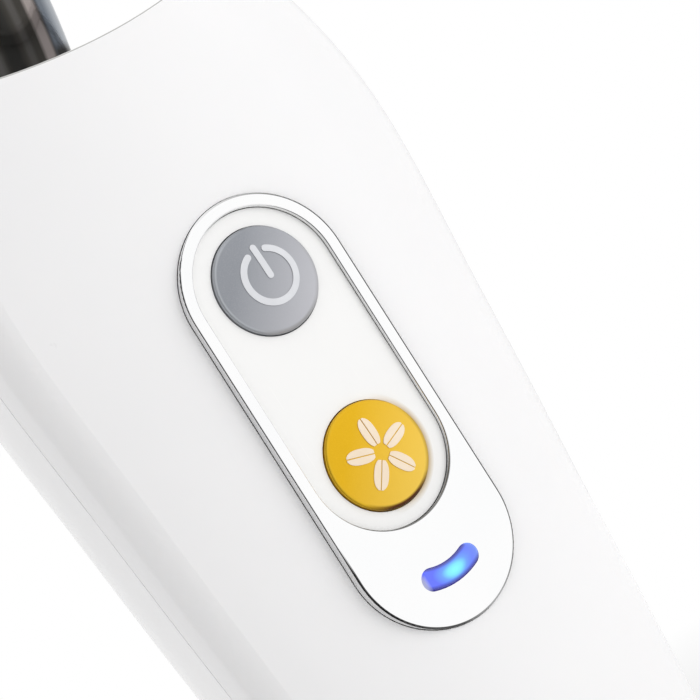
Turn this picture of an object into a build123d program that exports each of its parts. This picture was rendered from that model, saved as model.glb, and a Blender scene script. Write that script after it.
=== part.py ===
from build123d import *
import os
from math import atan, atan2, cos, pi, radians, sin, sqrt

# Wand massager, in millimetres. +Z runs up the wand from its tail to its head.
# The origin is the centre of the tail's flat end, on which the wand stands.
# -Y is the front, where the control panel is, and +X is to the right seen from the front.

# Body: two moulded shells that meet on a flat seam
SEAM_Y = -5.5
WIDEST_Z = 133.0
EASE_Z = 70.0
LEVEL_STEP = 12.0
LEVEL_COUNT = 15
HALF_WIDTH = 26.7
WIDTH_TAPER = 0.094
TAIL_WIDTH_TAPER = 0.030
BACK_DEPTH = 30.0
BACK_TAPER = 0.080
TAIL_BACK_TAPER = 0.046
FRONT_DEPTH = 9.5
SHOULDER_RADIUS = 60.0
FRONT_SHOULDER_RADIUS = 500.0
FRONT_CORNER_RADIUS = 5.5
BACK_SIDE_RADIUS = 60.0
WALL = 2.2
SEAM_GAP = 0.12
TONGUE_THICKNESS = 1.0
TONGUE_HEIGHT = 1.5
TONGUE_INSET = 0.15
TONGUE_CLEARANCE = 0.1

# Scooped rim at the top of the body, and the deck that closes it round the neck
RIM_Z = 154.0
SCOOP_RADIUS = 55.0
SCOOP_ROOM = 10.0
DECK_DROP = 2.5
DECK_THICKNESS = 3.0
DECK_CLEARANCE = 0.1
LEDGE_WIDTH = 1.6
LEDGE_THICKNESS = 2.0
LEDGE_GAP = 0.05
LEDGE_ROOM = 0.4
GROMMET_WALL = 1.8
GROMMET_LIP = 1.4
GROMMET_LIP_THICKNESS = 1.0
GROMMET_GAP = 0.05

# Tail cap and charging socket
CAP_HEIGHT = 9.0
CAP_FLOOR = 2.5
CAP_EDGE_RADIUS = 2.5
SPIGOT_HEIGHT = 4.0
SPIGOT_WALL = 1.8
SPIGOT_CLEARANCE = 0.1
PORT_Y = 5.0
PORT_RADIUS = 4.0
SOCKET_WIDTH = 12.0
SOCKET_DEPTH = 9.0
SOCKET_HEIGHT = 10.0
SOCKET_CHAMFER = 0.75
JACK_RADIUS = 2.85
JACK_DEPTH = 8.6
JACK_PIN_RADIUS = 1.0
JACK_PIN_LENGTH = 8.0

# Neck tube: upright in the body, leaning forward above the deck, upright again under the head
TUBE_RADIUS = 6.0
TUBE_WALL = 1.0
NECK_LEAN = 28.0
NECK_EXIT_Y = 8.3
NECK_EXIT_Z = 157.8
LOWER_BEND_RADIUS = 15.0
UPPER_BEND_RADIUS = 42.0
TUBE_BOTTOM_Z = 126.0
TUBE_FLANGE = 1.6
TUBE_FLANGE_THICKNESS = 2.0
TUBE_CLEARANCE = 0.05

# Ribs of the rear shell that hold the tube, and the clamp over it
NECK_RIB_Z = 129.0
NECK_RIB_PITCH = 6.0
NECK_RIB_COUNT = 3
RIB_THICKNESS = 2.0
CLAMP_HALF_WIDTH = 13.5
CLAMP_WALL = 2.5
CLAMP_GAP = 0.3
CLAMP_SCREW_X = 10.2
CLAMP_SCREW_LENGTH = 14.0
CLAMP_SCREW_BITE = 7.0

# Screws and the bosses of the shells
SCREW_RADIUS = 1.3
SCREW_HEAD_RADIUS = 2.4
SCREW_HEAD_HEIGHT = 1.6
SCREW_ROOM = 0.25
SCREW_FIT = 0.02
CROSS_LENGTH = 2.6
CROSS_WIDTH = 0.6
CROSS_DEPTH = 0.8
SHELL_SCREW_X = 15.0
SHELL_SCREW_Z = 116.0
SHELL_SCREW_LENGTH = 11.0
SHELL_SCREW_SINK = 5.0
BOSS_RADIUS = 3.2
BOSS_SEAT = 4.0
BOSS_GAP = 0.1
BOSS_CLEARANCE = 0.4

# Control panel on the front
POWER_Z = 124.93
BUTTON_PITCH = 20.44
PANEL_HEIGHT = 0.3
BEZEL_RADIUS = 9.27
BEZEL_SPAN = 29.67
BEZEL_END_INSET = 0.32
BEZEL_OPENING_RADIUS = 7.9
BEZEL_EDGE_RADIUS = 0.2
BEZEL_CLEARANCE = 0.06
POCKET_DEPTH = 1.6
WEB_THICKNESS = 2.0
WEB_MARGIN = 2.0
PLATE_SINK = 0.6
PLATE_CLEARANCE = 0.05
BUTTON_RADIUS = 5.6
BUTTON_CLEARANCE = 0.12
BUTTON_EDGE_SINK = 0.15
BUTTON_EDGE_RADIUS = 0.25
BUTTON_DOME = 0.45
BUTTON_FLANGE = 0.65
BUTTON_FLANGE_THICKNESS = 0.8
BUTTON_FLANGE_GAP = 0.2
BUTTON_STEM_RADIUS = 1.5
BUTTON_TRAVEL = 0.6
FLANGE_CLEARANCE = 0.35

# Light window: a bean-shaped lens that bulges towards the tail
LENS_Z = 90.87
LENS_BEND_RADIUS = 7.2
LENS_WIDTH = 2.3
LENS_LENGTH = 7.2
LENS_CLEARANCE = 0.04
LENS_FLANGE = 0.6
LENS_FLANGE_THICKNESS = 0.8
LENS_PROUD = 0.25
LENS_EDGE_RADIUS = 0.4
LENS_LIGHT_GAP = 0.3

# Circuit board with its switches, light and connectors
BOARD_HALF_WIDTH = 9.5
BOARD_TOP_Z = 133.0
BOARD_CLEARANCE = 0.5
BOARD_THICKNESS = 1.6
BOARD_CORNER_RADIUS = 1.5
SWITCH_SIZE = 6.0
SWITCH_HEIGHT = 3.4
SWITCH_CHAMFER = 0.5
SWITCH_LEG = 0.7
SWITCH_LEG_PITCH = 3.0
SWITCH_LEG_REACH = 0.9
PLUNGER_RADIUS = 1.75
PLUNGER_CHAMFER = 0.3
PLUNGER_HEIGHT = 1.0
PLUNGER_ROOT = 0.5
PLUNGER_CLEARANCE = 0.05
STEM_GAP = 0.03
POST_RADIUS = 1.7
POST_X = 7.4
POST_LENGTH = 4.2
POST_UPPER_Z = 114.8
POST_LOWER_Z = 97.5
BOARD_SCREW_RADIUS = 0.9
BOARD_SCREW_HEAD_RADIUS = 1.6
BOARD_SCREW_HEAD_HEIGHT = 1.1
BOARD_SCREW_LENGTH = 4.6
LIGHT_WIDTH = 3.5
LIGHT_HEIGHT = 2.0
LIGHT_DEPTH = 2.8
LIGHT_NOSE_RADIUS = 0.65
CONNECTOR_WIDTH = 11.0
CONNECTOR_HEIGHT = 4.5
CONNECTOR_DEPTH = 4.0
CONNECTOR_CHAMFER = 0.5
LEAD_CONNECTOR_Z = 119.5
CHARGE_CONNECTOR_Z = 104.0

# Battery cell, its tabs and its cradle
CELL_RADIUS = 9.2
CELL_LENGTH = 65.0
CELL_Y = -2.2
CELL_EDGE_RADIUS = 0.75
CELL_CAP_RADIUS = 3.2
CELL_CAP_HEIGHT = 0.8
TAB_THICKNESS = 0.3
TAB_RADIUS = 4.0
TAB_CLEARANCE = 0.02
STRIP_HALF_WIDTH = 1.5
CRADLE_WALL = 1.0
CRADLE_CLEARANCE = 0.1
CRADLE_END = 1.2
CRADLE_OPEN = 4.0
CRADLE_RIBS_Z = (34.0, 78.0)

# Wires
LEAD_RADIUS = 0.7
LEAD_BEND = 5.0
LEAD_GAP = 0.03
MOTOR_LEAD_X = 4.0
CELL_LEAD_X = 1.3
SOCKET_LEAD_X = 4.4
SOCKET_LEAD_Y = 8.6
LEAD_HOLE_CLEARANCE = 0.3

# Head
HEAD_RADIUS = 23.0
HEAD_NECK_RADIUS = 9.6
HEAD_BASE_HEIGHT = 20.0
HEAD_CAP_HEIGHT = 35.0
HEAD_DOME = 18.0
HEAD_CORNER_RADIUS = 11.0
HEAD_WALL = 2.2
HEAD_FLOOR = 9.2
HEAD_FLARE = 9.0
NUT_FLATS = 15.0
NUT_THICKNESS = 3.4
TUBE_END = 0.4
FERRULE_HEIGHT = 2.6
FERRULE_START = 1.8
FERRULE_RADIUS = 7.4
RING_HEIGHT = 2.4
RING_PROUD = 0.5
RING_EDGE_RADIUS = 0.6
PAD_THICKNESS = 2.6
PAD_CLEARANCE = 0.05
CORE_WALL = 2.0
BARREL_WALL = 1.5
HEAD_SCREW_ANGLES = (90.0, 210.0, 330.0)
HEAD_SCREW_CIRCLE = 17.2
HEAD_SCREW_LENGTH = 11.0
HEAD_SCREW_SEAT = 5.0
HEAD_BOSS_RADIUS = 3.0
HEAD_BOSS_HEIGHT = 8.0

# Vibration motor and its off-centre weight
MOTOR_RADIUS = 12.2
MOTOR_WALL = 1.0
MOTOR_HEIGHT = 21.5
MOTOR_BOSS_RADIUS = 3.4
MOTOR_BOSS_HEIGHT = 1.5
END_BELL_THICKNESS = 2.6
TERMINAL_LENGTH = 2.4
TERMINAL_WIDTH = 1.8
TERMINAL_THICKNESS = 0.5
TERMINAL_CLEARANCE = 0.6
SLEEVE_THICKNESS = 1.8
SLEEVE_CLEARANCE = 0.05
SLEEVE_LIP = 1.6
SLEEVE_LIP_THICKNESS = 1.0
MAGNET_THICKNESS = 2.4
MAGNET_SPREAD = 116.0
MAGNET_HEIGHT = 12.0
AIR_GAP = 0.5
ARMATURE_HEIGHT = 11.0
ARMATURE_SLOT = 2.2
ARMATURE_POCKET = 7.0
ARMATURE_POLES = 3
ARMATURE_HUB_RADIUS = 4.6
ARMATURE_TIP = 1.4
SHAFT_RADIUS = 1.0
SHAFT_START = 0.4
BUSH_RADIUS = 2.4
BUSH_HEIGHT = 3.0
BUSH_CLEARANCE = 0.04
WEIGHT_RADIUS = 9.5
WEIGHT_HUB_RADIUS = 3.0
WEIGHT_HEIGHT = 5.5
WEIGHT_GAP = 1.0

# Places worked out from the sizes above
CREST_Y = SEAM_Y - FRONT_DEPTH
PANEL_Y = CREST_Y - PANEL_HEIGHT
POCKET_Y = CREST_Y + POCKET_DEPTH
WEB_Y = POCKET_Y + WEB_THICKNESS
MODE_Z = POWER_Z - BUTTON_PITCH
BEZEL_HIGH_Z = POWER_Z - BEZEL_END_INSET
BEZEL_LOW_Z = BEZEL_HIGH_Z - BEZEL_SPAN
OPENING_LOW_Z = MODE_Z + BEZEL_END_INSET
PLATE_Y = PANEL_Y + PLATE_SINK
FLANGE_RADIUS = BUTTON_RADIUS + BUTTON_FLANGE
FLANGE_Y = POCKET_Y + BUTTON_FLANGE_GAP
BOARD_Y = WEB_Y + POST_LENGTH
BOARD_BACK_Y = BOARD_Y + BOARD_THICKNESS
SWITCH_Y = BOARD_Y - SWITCH_HEIGHT
PLUNGER_Y = SWITCH_Y - PLUNGER_HEIGHT
CONNECTOR_Y = BOARD_BACK_Y + CONNECTOR_DEPTH
POSTS = [(x, z) for z in (POST_LOWER_Z, POST_UPPER_Z) for x in (-POST_X, POST_X)]
TAIL_SCREW_Z = CAP_HEIGHT + SPIGOT_HEIGHT + BOSS_CLEARANCE + BOSS_RADIUS
SHELL_SCREWS = [(0.0, TAIL_SCREW_Z), (-SHELL_SCREW_X, SHELL_SCREW_Z), (SHELL_SCREW_X, SHELL_SCREW_Z)]
CRADLE_BOTTOM_Z = TAIL_SCREW_Z + BOSS_RADIUS + BOSS_CLEARANCE
CELL_BOTTOM_Z = CRADLE_BOTTOM_Z + CRADLE_END + TAB_THICKNESS + 2 * TAB_CLEARANCE
CELL_TOP_Z = CELL_BOTTOM_Z + CELL_LENGTH
TOP_TAB_Z = CELL_TOP_Z + TAB_CLEARANCE
CRADLE_TOP_Z = TOP_TAB_Z + TAB_THICKNESS + TAB_CLEARANCE + CRADLE_END
CRADLE_RADIUS = CELL_RADIUS + CRADLE_CLEARANCE + CRADLE_WALL
BOARD_BOTTOM_Z = CRADLE_TOP_Z + BOARD_CLEARANCE
LEAN = radians(NECK_LEAN)
NECK_Y = NECK_EXIT_Y + LOWER_BEND_RADIUS * (1 - cos(LEAN))
HEAD_Y = NECK_EXIT_Y - UPPER_BEND_RADIUS * (1 - cos(LEAN))
BEND_START_Z = NECK_EXIT_Z - LOWER_BEND_RADIUS * sin(LEAN)
BEND_END_Z = NECK_EXIT_Z + UPPER_BEND_RADIUS * sin(LEAN)
NECK_RIBS_Z = [NECK_RIB_Z + k * NECK_RIB_PITCH for k in range(NECK_RIB_COUNT)]
NECK_RIBS_TOP_Z = NECK_RIBS_Z[-1] + RIB_THICKNESS
CLAMP_Z = (NECK_RIB_Z + NECK_RIBS_TOP_Z) / 2
CLAMP_BACK_Y = NECK_Y - CLAMP_GAP
CLAMP_FRONT_Y = NECK_Y - TUBE_RADIUS - CLAMP_WALL
TUBE_FLANGE_Z = NECK_RIB_Z + RIB_THICKNESS + (NECK_RIB_PITCH - RIB_THICKNESS - TUBE_FLANGE_THICKNESS) / 2
FERRULE_Z = BEND_END_Z + FERRULE_START
HEAD_BASE_Z = FERRULE_Z + FERRULE_HEIGHT
HEAD_FLOOR_Z = HEAD_BASE_Z + HEAD_FLOOR
TUBE_TOP_Z = HEAD_FLOOR_Z + NUT_THICKNESS + TUBE_END
HEAD_JOINT_Z = HEAD_BASE_Z + HEAD_BASE_HEIGHT
RING_TOP_Z = HEAD_JOINT_Z + RING_HEIGHT
HEAD_TOP_Z = HEAD_JOINT_Z + HEAD_CAP_HEIGHT
DOME_Z = HEAD_TOP_Z - HEAD_DOME
CORE_RADIUS = HEAD_RADIUS - PAD_THICKNESS - PAD_CLEARANCE
MOTOR_BOTTOM_Z = TUBE_TOP_Z + TERMINAL_CLEARANCE + TERMINAL_LENGTH
MOTOR_TOP_Z = MOTOR_BOTTOM_Z + MOTOR_HEIGHT
MOTOR_MIDDLE_Z = (MOTOR_BOTTOM_Z + END_BELL_THICKNESS + MOTOR_TOP_Z - MOTOR_WALL) / 2
MOTOR_BORE_RADIUS = MOTOR_RADIUS - MOTOR_WALL
SLEEVE_RADIUS = MOTOR_RADIUS + SLEEVE_CLEARANCE + SLEEVE_THICKNESS
BARREL_RADIUS = SLEEVE_RADIUS + SLEEVE_CLEARANCE
PARTITION_Z = MOTOR_TOP_Z + SLEEVE_CLEARANCE
WEIGHT_Z = PARTITION_Z + CORE_WALL + WEIGHT_GAP
SHAFT_TOP_Z = WEIGHT_Z + WEIGHT_HEIGHT
ARMATURE_RADIUS = MOTOR_BORE_RADIUS - MAGNET_THICKNESS - AIR_GAP
LEVELS = [k * LEVEL_STEP for k in range(LEVEL_COUNT)]
SEAM_REACH = 1.0
BOSS_REACH = 20.0
FAR = 100.0


def box(x, y, z):
    """A block whose sides run between the (low, high) pairs x, y and z."""
    middle = [(low + high) / 2 for low, high in (x, y, z)]
    size = [high - low for low, high in (x, y, z)]
    return Pos(*middle) * Box(*size)


def bar(x, y, radius, z_low, z_high):
    """A round bar that stands upright."""
    return Pos(x, y, (z_low + z_high) / 2) * Cylinder(radius, z_high - z_low)


def bar_along_y(x, z, radius, y_front, y_back):
    """A round bar that lies from front to back."""
    return Pos(x, (y_front + y_back) / 2, z) * Rot(90, 0, 0) * Cylinder(radius, y_back - y_front)


def ring(y, inner, outer, z_low, z_high):
    """An upright tube centred on x = 0."""
    return bar(0, y, outer, z_low, z_high) - bar(0, y, inner, z_low - 1, z_high + 1)


def panel_solid(sketch, y_front, y_back):
    """A sketch drawn in X and Z, given thickness from y_front to y_back."""
    plane = Plane(origin=(0, y_back, 0), x_dir=(1, 0, 0), z_dir=(0, -1, 0))
    return extrude(plane * sketch, amount=y_back - y_front)


def outline(z, widest, taper, tail_taper, shoulder):
    """A half size of the body at height z: a slow ease at the tail, a straight taper, a round shoulder."""
    slope = atan(taper)
    taper_top = WIDEST_Z - shoulder * sin(slope)
    if z > taper_top:
        return widest - shoulder + sqrt(shoulder**2 - (z - WIDEST_Z) ** 2)
    size = widest - shoulder * (1 - cos(slope)) - taper * (taper_top - z)
    if z < EASE_Z:
        size += (taper - tail_taper) * (EASE_Z - z) ** 2 / (2 * EASE_Z)
    return size


def half_width(z):
    return outline(z, HALF_WIDTH, WIDTH_TAPER, TAIL_WIDTH_TAPER, SHOULDER_RADIUS)


def back_depth(z):
    return outline(z, BACK_DEPTH, BACK_TAPER, TAIL_BACK_TAPER, SHOULDER_RADIUS)


def front_depth(z):
    return outline(z, FRONT_DEPTH, 0, 0, FRONT_SHOULDER_RADIUS) if z > WIDEST_Z else FRONT_DEPTH


def crest_radius(width, depth, corner):
    """Radius of the crest arc that meets the two corner arcs smoothly."""
    return ((width - corner) ** 2 + depth**2 - corner**2) / (2 * (depth - corner))


def meeting_angle(width, depth, corner):
    """How far round from the seam the corner arc meets the crest arc."""
    crest = crest_radius(width, depth, corner)
    hand = 1 if crest > corner else -1
    return atan2(hand * (crest - depth), hand * (width - corner))


def arch(width, depth, corner, side, inset):
    """Corner, crest and corner arc, from the right seam to the left. side is -1 in front and 1 behind."""
    corner_x = width - corner
    turn = meeting_angle(width, depth, corner)

    def on_corner(angle, hand):
        reach = corner - inset
        return hand * (corner_x + reach * cos(angle)), SEAM_Y + side * reach * sin(angle)

    top = (0, SEAM_Y + side * (depth - inset))
    return [
        ThreePointArc(on_corner(0, 1), on_corner(turn / 2, 1), on_corner(turn, 1)),
        ThreePointArc(on_corner(turn, 1), top, on_corner(turn, -1)),
        ThreePointArc(on_corner(turn, -1), on_corner(turn / 2, -1), on_corner(0, -1)),
    ]


def front_arch(z, inset):
    return arch(half_width(z), front_depth(z), FRONT_CORNER_RADIUS, -1, inset)


def back_arch(z, inset):
    return arch(half_width(z), back_depth(z), BACK_SIDE_RADIUS, 1, inset)


def half_section(z, edges, reach_y):
    """The face between one arch and the line y = reach_y."""
    start = edges[0] @ 0
    end = edges[-1] @ 1
    corners = [(end.X, reach_y), (start.X, reach_y)]
    if reach_y == SEAM_Y:
        closing = [Line(*corners)]
    else:
        closing = [Line(end, corners[0]), Line(*corners), Line(corners[1], start)]
    return Pos(0, 0, z) * make_face(edges + closing)


def front_body(inset, reach):
    """The body in front of the seam, drawn in by inset, and carried reach past the seam."""
    return loft([half_section(z, front_arch(z, inset), SEAM_Y + reach) for z in LEVELS])


def back_body(inset, reach):
    """The body behind the seam, drawn in by inset, and carried reach past the seam."""
    return loft([half_section(z, back_arch(z, inset), SEAM_Y - reach) for z in LEVELS])


def whole_body(inset):
    faces = [make_face(front_arch(z, inset) + back_arch(z, inset)) for z in LEVELS]
    return loft([Pos(0, 0, z) * face for z, face in zip(LEVELS, faces)])


def between(z_low, z_high):
    return box((-FAR, FAR), (-FAR, FAR), (z_low, z_high))


def back_surface(x, z):
    """The outside of the rear shell at x and z, which must lie on the crest arc."""
    depth = back_depth(z)
    crest = crest_radius(half_width(z), depth, BACK_SIDE_RADIUS)
    return SEAM_Y + depth - crest + sqrt(crest**2 - x**2)


def above_scoop(drop):
    """Everything above the scooped rim, lowered by drop."""
    return Pos(0, 0, RIM_Z - drop + SCOOP_RADIUS) * Rot(90, 0, 0) * Cylinder(SCOOP_RADIUS, FAR)


def in_front_of(y):
    return box((-FAR, FAR), (-FAR, y), (-FAR, 3 * FAR))


def behind(y):
    return box((-FAR, FAR), (y, FAR), (-FAR, 3 * FAR))


def stadium(radius, low_z, high_z):
    slot = SlotCenterToCenter(high_z - low_z, 2 * radius, rotation=90)
    return Pos(0, (low_z + high_z) / 2) * slot


def bean(grow):
    """The outline of the light window, made wider by grow all round."""
    half_angle = (LENS_LENGTH - LENS_WIDTH) / 2 / LENS_BEND_RADIUS * 180 / pi
    arc = CenterArc((0, LENS_Z + LENS_BEND_RADIUS), LENS_BEND_RADIUS, 270 - half_angle, 2 * half_angle)
    return SlotArc(arc, LENS_WIDTH + 2 * grow)


def turned(points, y):
    """A solid of revolution about the upright line through (0, y), from (radius, z) points."""
    face = make_face(Polyline(*points, close=True))
    return Pos(0, y, 0) * revolve(Rot(90, 0, 0) * face, axis=Axis.Z)


def pan_screw(radius, head_radius, head_height, length):
    """A screw that points down from a head that sits on z = 0, with a cross in its head."""
    head = fillet(bar(0, 0, head_radius, 0, head_height).edges().sort_by(Axis.Z)[-1], head_height / 2)
    cross = box((-CROSS_LENGTH / 2, CROSS_LENGTH / 2), (-CROSS_WIDTH / 2, CROSS_WIDTH / 2),
                (head_height - CROSS_DEPTH, head_height + 1))
    cross += Rot(0, 0, 90) * cross
    tip = min(radius, length) / 2
    shank = chamfer(bar(0, 0, radius, -length, 0).edges().sort_by(Axis.Z)[0], tip)
    return head + shank - cross


# Body


def deck_ledge():
    """The rim inside the shells that the deck rests on."""
    rim = whole_body(WALL / 2) - whole_body(WALL + LEDGE_WIDTH)
    low = DECK_DROP + DECK_THICKNESS + LEDGE_GAP
    room_radius = TUBE_RADIUS + GROMMET_WALL + GROMMET_LIP + LEDGE_ROOM
    room = bar(0, NECK_Y, room_radius, RIM_Z - 2 * SCOOP_ROOM, RIM_Z)
    return (rim & above_scoop(low + LEDGE_THICKNESS)) - above_scoop(low) - room


def screw_seat_y(x, z):
    return back_surface(x, z) - SHELL_SCREW_SINK


def front_shell(ledge):
    shell = (front_body(0, 0) - front_body(WALL, SEAM_REACH)) & between(CAP_HEIGHT, 2 * FAR)
    core = front_body(WALL / 2, BOSS_REACH)
    rabbet = front_body(WALL - TONGUE_INSET - TONGUE_THICKNESS - TONGUE_CLEARANCE, SEAM_REACH)
    shell -= rabbet & behind(SEAM_Y - TONGUE_HEIGHT - TONGUE_CLEARANCE)
    shell &= in_front_of(SEAM_Y - SEAM_GAP)
    shell += ledge & in_front_of(SEAM_Y - TONGUE_HEIGHT - 2 * TONGUE_CLEARANCE)
    shell -= above_scoop(0)
    web = stadium(BEZEL_RADIUS + WEB_MARGIN, BEZEL_LOW_Z, BEZEL_HIGH_Z)
    pocket = stadium(BEZEL_RADIUS + BEZEL_CLEARANCE, BEZEL_LOW_Z, BEZEL_HIGH_Z)
    shell += panel_solid(web, POCKET_Y - WALL / 2, WEB_Y) & core
    for x, z in SHELL_SCREWS:
        seat = screw_seat_y(x, z)
        split = seat - BOSS_SEAT - BOSS_GAP
        shell += bar_along_y(x, z, BOSS_RADIUS, CREST_Y, split) & core
        shell -= bar_along_y(x, z, SCREW_RADIUS + SCREW_FIT, seat - SHELL_SCREW_LENGTH - 1, split + 1)
    for x, z in POSTS:
        shell += bar_along_y(x, z, POST_RADIUS, WEB_Y - WEB_THICKNESS / 2, BOARD_Y)
        shell -= bar_along_y(x, z, BOARD_SCREW_RADIUS + SCREW_FIT, WEB_Y - WEB_THICKNESS / 2, BOARD_Y + 1)
    shell -= panel_solid(pocket, PANEL_Y - 1, POCKET_Y)
    for z in (POWER_Z, MODE_Z):
        shell -= bar_along_y(0, z, FLANGE_RADIUS + FLANGE_CLEARANCE, POCKET_Y - 1, WEB_Y + 1)
    shell -= panel_solid(bean(LENS_FLANGE + 2 * LENS_CLEARANCE), POCKET_Y - 1, WEB_Y + 1)
    return shell


def rear_rib(z, seat_y, seat_radius, half_size):
    """A flat rib across the rear shell with a half-round seat in its front edge."""
    rib = box((-half_size, half_size), (seat_y, FAR), (z, z + RIB_THICKNESS))
    return rib - bar(0, seat_y, seat_radius, z - 1, z + RIB_THICKNESS + 1)


def rear_shell(ledge):
    core = back_body(WALL / 2, SEAM_REACH)
    shell = (back_body(0, 0) - back_body(WALL, SEAM_REACH)) & between(CAP_HEIGHT, 2 * FAR)
    tongue = front_body(WALL - TONGUE_INSET - TONGUE_THICKNESS, SEAM_REACH)
    tongue = tongue - front_body(WALL - TONGUE_INSET, 2 * SEAM_REACH)
    tongue = tongue & box((-FAR, FAR), (SEAM_Y - TONGUE_HEIGHT, SEAM_Y + WALL / 4), (CAP_HEIGHT, 2 * FAR))
    shell = shell + tongue + (ledge & behind(SEAM_Y))
    shell -= above_scoop(0)
    for z in NECK_RIBS_Z:
        shell += rear_rib(z, NECK_Y, TUBE_RADIUS + TUBE_CLEARANCE, CLAMP_HALF_WIDTH) & core
    for x in (-CLAMP_SCREW_X, CLAMP_SCREW_X):
        shell += bar_along_y(x, CLAMP_Z, BOSS_RADIUS, NECK_Y, NECK_Y + BACK_DEPTH) & core
        shell -= bar_along_y(x, CLAMP_Z, SCREW_RADIUS + SCREW_FIT, NECK_Y - 1, NECK_Y + CLAMP_SCREW_BITE)
    for z in CRADLE_RIBS_Z:
        shell += rear_rib(z, CELL_Y, CRADLE_RADIUS + CRADLE_CLEARANCE, HALF_WIDTH) & core
    for x in (-SOCKET_LEAD_X, SOCKET_LEAD_X):
        shell -= bar(x, SOCKET_LEAD_Y, LEAD_RADIUS + LEAD_HOLE_CLEARANCE, CRADLE_BOTTOM_Z, CRADLE_TOP_Z)
    for x, z in SHELL_SCREWS:
        seat = screw_seat_y(x, z)
        shell += bar_along_y(x, z, BOSS_RADIUS, seat - BOSS_SEAT, seat + FAR) & core
        shell -= bar_along_y(x, z, SCREW_RADIUS + SCREW_ROOM, seat - BOSS_SEAT - 1, seat + 1)
        shell -= bar_along_y(x, z, SCREW_HEAD_RADIUS + SCREW_ROOM, seat, seat + FAR)
    return shell


def shell_screws():
    """Three screws from the back, which pull the rear shell onto the bosses of the front shell."""
    screw = Rot(-90, 0, 0) * pan_screw(SCREW_RADIUS, SCREW_HEAD_RADIUS, SCREW_HEAD_HEIGHT, SHELL_SCREW_LENGTH)
    return [Pos(x, screw_seat_y(x, z), z) * screw for x, z in SHELL_SCREWS]


def tail_cap():
    """The floor of the wand, with a spigot that plugs into both shells."""
    cap = whole_body(0) & between(0, CAP_HEIGHT)
    cap = fillet(cap.faces().sort_by(Axis.Z)[0].edges(), CAP_EDGE_RADIUS)
    cap += whole_body(WALL + SPIGOT_CLEARANCE) & between(CAP_HEIGHT / 2, CAP_HEIGHT + SPIGOT_HEIGHT)
    cap -= whole_body(WALL + SPIGOT_CLEARANCE + SPIGOT_WALL) & between(CAP_FLOOR, FAR)
    return cap - bar(0, PORT_Y, PORT_RADIUS, -1, CAP_FLOOR + 1)


def charge_socket():
    low, high = CAP_FLOOR, CAP_FLOOR + SOCKET_HEIGHT
    half_width = SOCKET_WIDTH / 2
    half_depth = SOCKET_DEPTH / 2
    block = box((-half_width, half_width), (PORT_Y - half_depth, PORT_Y + half_depth), (low, high))
    block = chamfer(block.edges().filter_by(Axis.Z), SOCKET_CHAMFER)
    block -= bar(0, PORT_Y, JACK_RADIUS, low - 1, low + JACK_DEPTH)
    return block - bar(0, PORT_Y, JACK_PIN_RADIUS, low + JACK_DEPTH - 1, high + 1)


def charge_pin():
    tip = CAP_FLOOR + JACK_DEPTH - JACK_PIN_LENGTH
    pin = bar(0, PORT_Y, JACK_PIN_RADIUS, tip, CAP_FLOOR + SOCKET_HEIGHT)
    return fillet(pin.edges().sort_by(Axis.Z)[0], JACK_PIN_RADIUS / 2)


def top_deck():
    deck = whole_body(WALL + DECK_CLEARANCE) - above_scoop(DECK_DROP)
    deck = deck & above_scoop(DECK_DROP + DECK_THICKNESS)
    return deck - bar(0, NECK_Y, TUBE_RADIUS + GROMMET_WALL, RIM_Z - SCOOP_ROOM, RIM_Z)


def between_scoops(high_drop, low_drop):
    """The layer between two lowered copies of the scooped rim."""
    return box((-FAR, FAR), (-FAR, FAR), (RIM_Z - SCOOP_RADIUS, RIM_Z + SCOOP_RADIUS)) & (
        above_scoop(low_drop) - above_scoop(high_drop)
    )


def neck_grommet():
    """A rubber ring round the tube, with a lip over the deck and one under it."""
    deck_low = DECK_DROP + DECK_THICKNESS
    over = DECK_DROP - GROMMET_GAP
    under = deck_low + GROMMET_GAP
    outer = TUBE_RADIUS + GROMMET_WALL
    room = (RIM_Z - SCOOP_ROOM, RIM_Z + SCOOP_ROOM)
    ring_body = bar(0, NECK_Y, outer - GROMMET_GAP, *room)
    lip = bar(0, NECK_Y, outer + GROMMET_LIP, *room)
    grommet = ring_body & between_scoops(over - GROMMET_LIP_THICKNESS, under + GROMMET_LIP_THICKNESS)
    grommet += lip & between_scoops(over - GROMMET_LIP_THICKNESS, over)
    grommet += lip & between_scoops(under, under + GROMMET_LIP_THICKNESS)
    return (grommet & whole_body(WALL + DECK_CLEARANCE)) - neck_bar(TUBE_RADIUS + TUBE_CLEARANCE)


# Neck


def neck_path(low, high):
    """The tube's middle line: upright, curved forward, curved back upright."""
    start = (0, NECK_Y, low)
    foot = (0, NECK_Y, BEND_START_Z)
    exit_point = (0, NECK_EXIT_Y, NECK_EXIT_Z)
    head = (0, HEAD_Y, BEND_END_Z)
    half = LEAN / 2
    lower = (0, NECK_Y - LOWER_BEND_RADIUS * (1 - cos(half)), BEND_START_Z + LOWER_BEND_RADIUS * sin(half))
    upper = (0, HEAD_Y + UPPER_BEND_RADIUS * (1 - cos(half)), BEND_END_Z - UPPER_BEND_RADIUS * sin(half))
    lines = [Line(start, foot), ThreePointArc(foot, lower, exit_point)]
    lines += [ThreePointArc(exit_point, upper, head), Line(head, (0, HEAD_Y, high))]
    return Wire([line.edge() for line in lines])


def neck_bar(radius, low=TUBE_BOTTOM_Z, high=TUBE_TOP_Z):
    section = Pos(0, NECK_Y, low) * Circle(radius)
    return sweep(section, path=neck_path(low, high))


def neck_tube():
    outside = neck_bar(TUBE_RADIUS)
    outside += bar(0, NECK_Y, TUBE_RADIUS + TUBE_FLANGE, TUBE_FLANGE_Z, TUBE_FLANGE_Z + TUBE_FLANGE_THICKNESS)
    return outside - neck_bar(TUBE_RADIUS - TUBE_WALL, TUBE_BOTTOM_Z - 1, TUBE_TOP_Z + 1)


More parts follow.
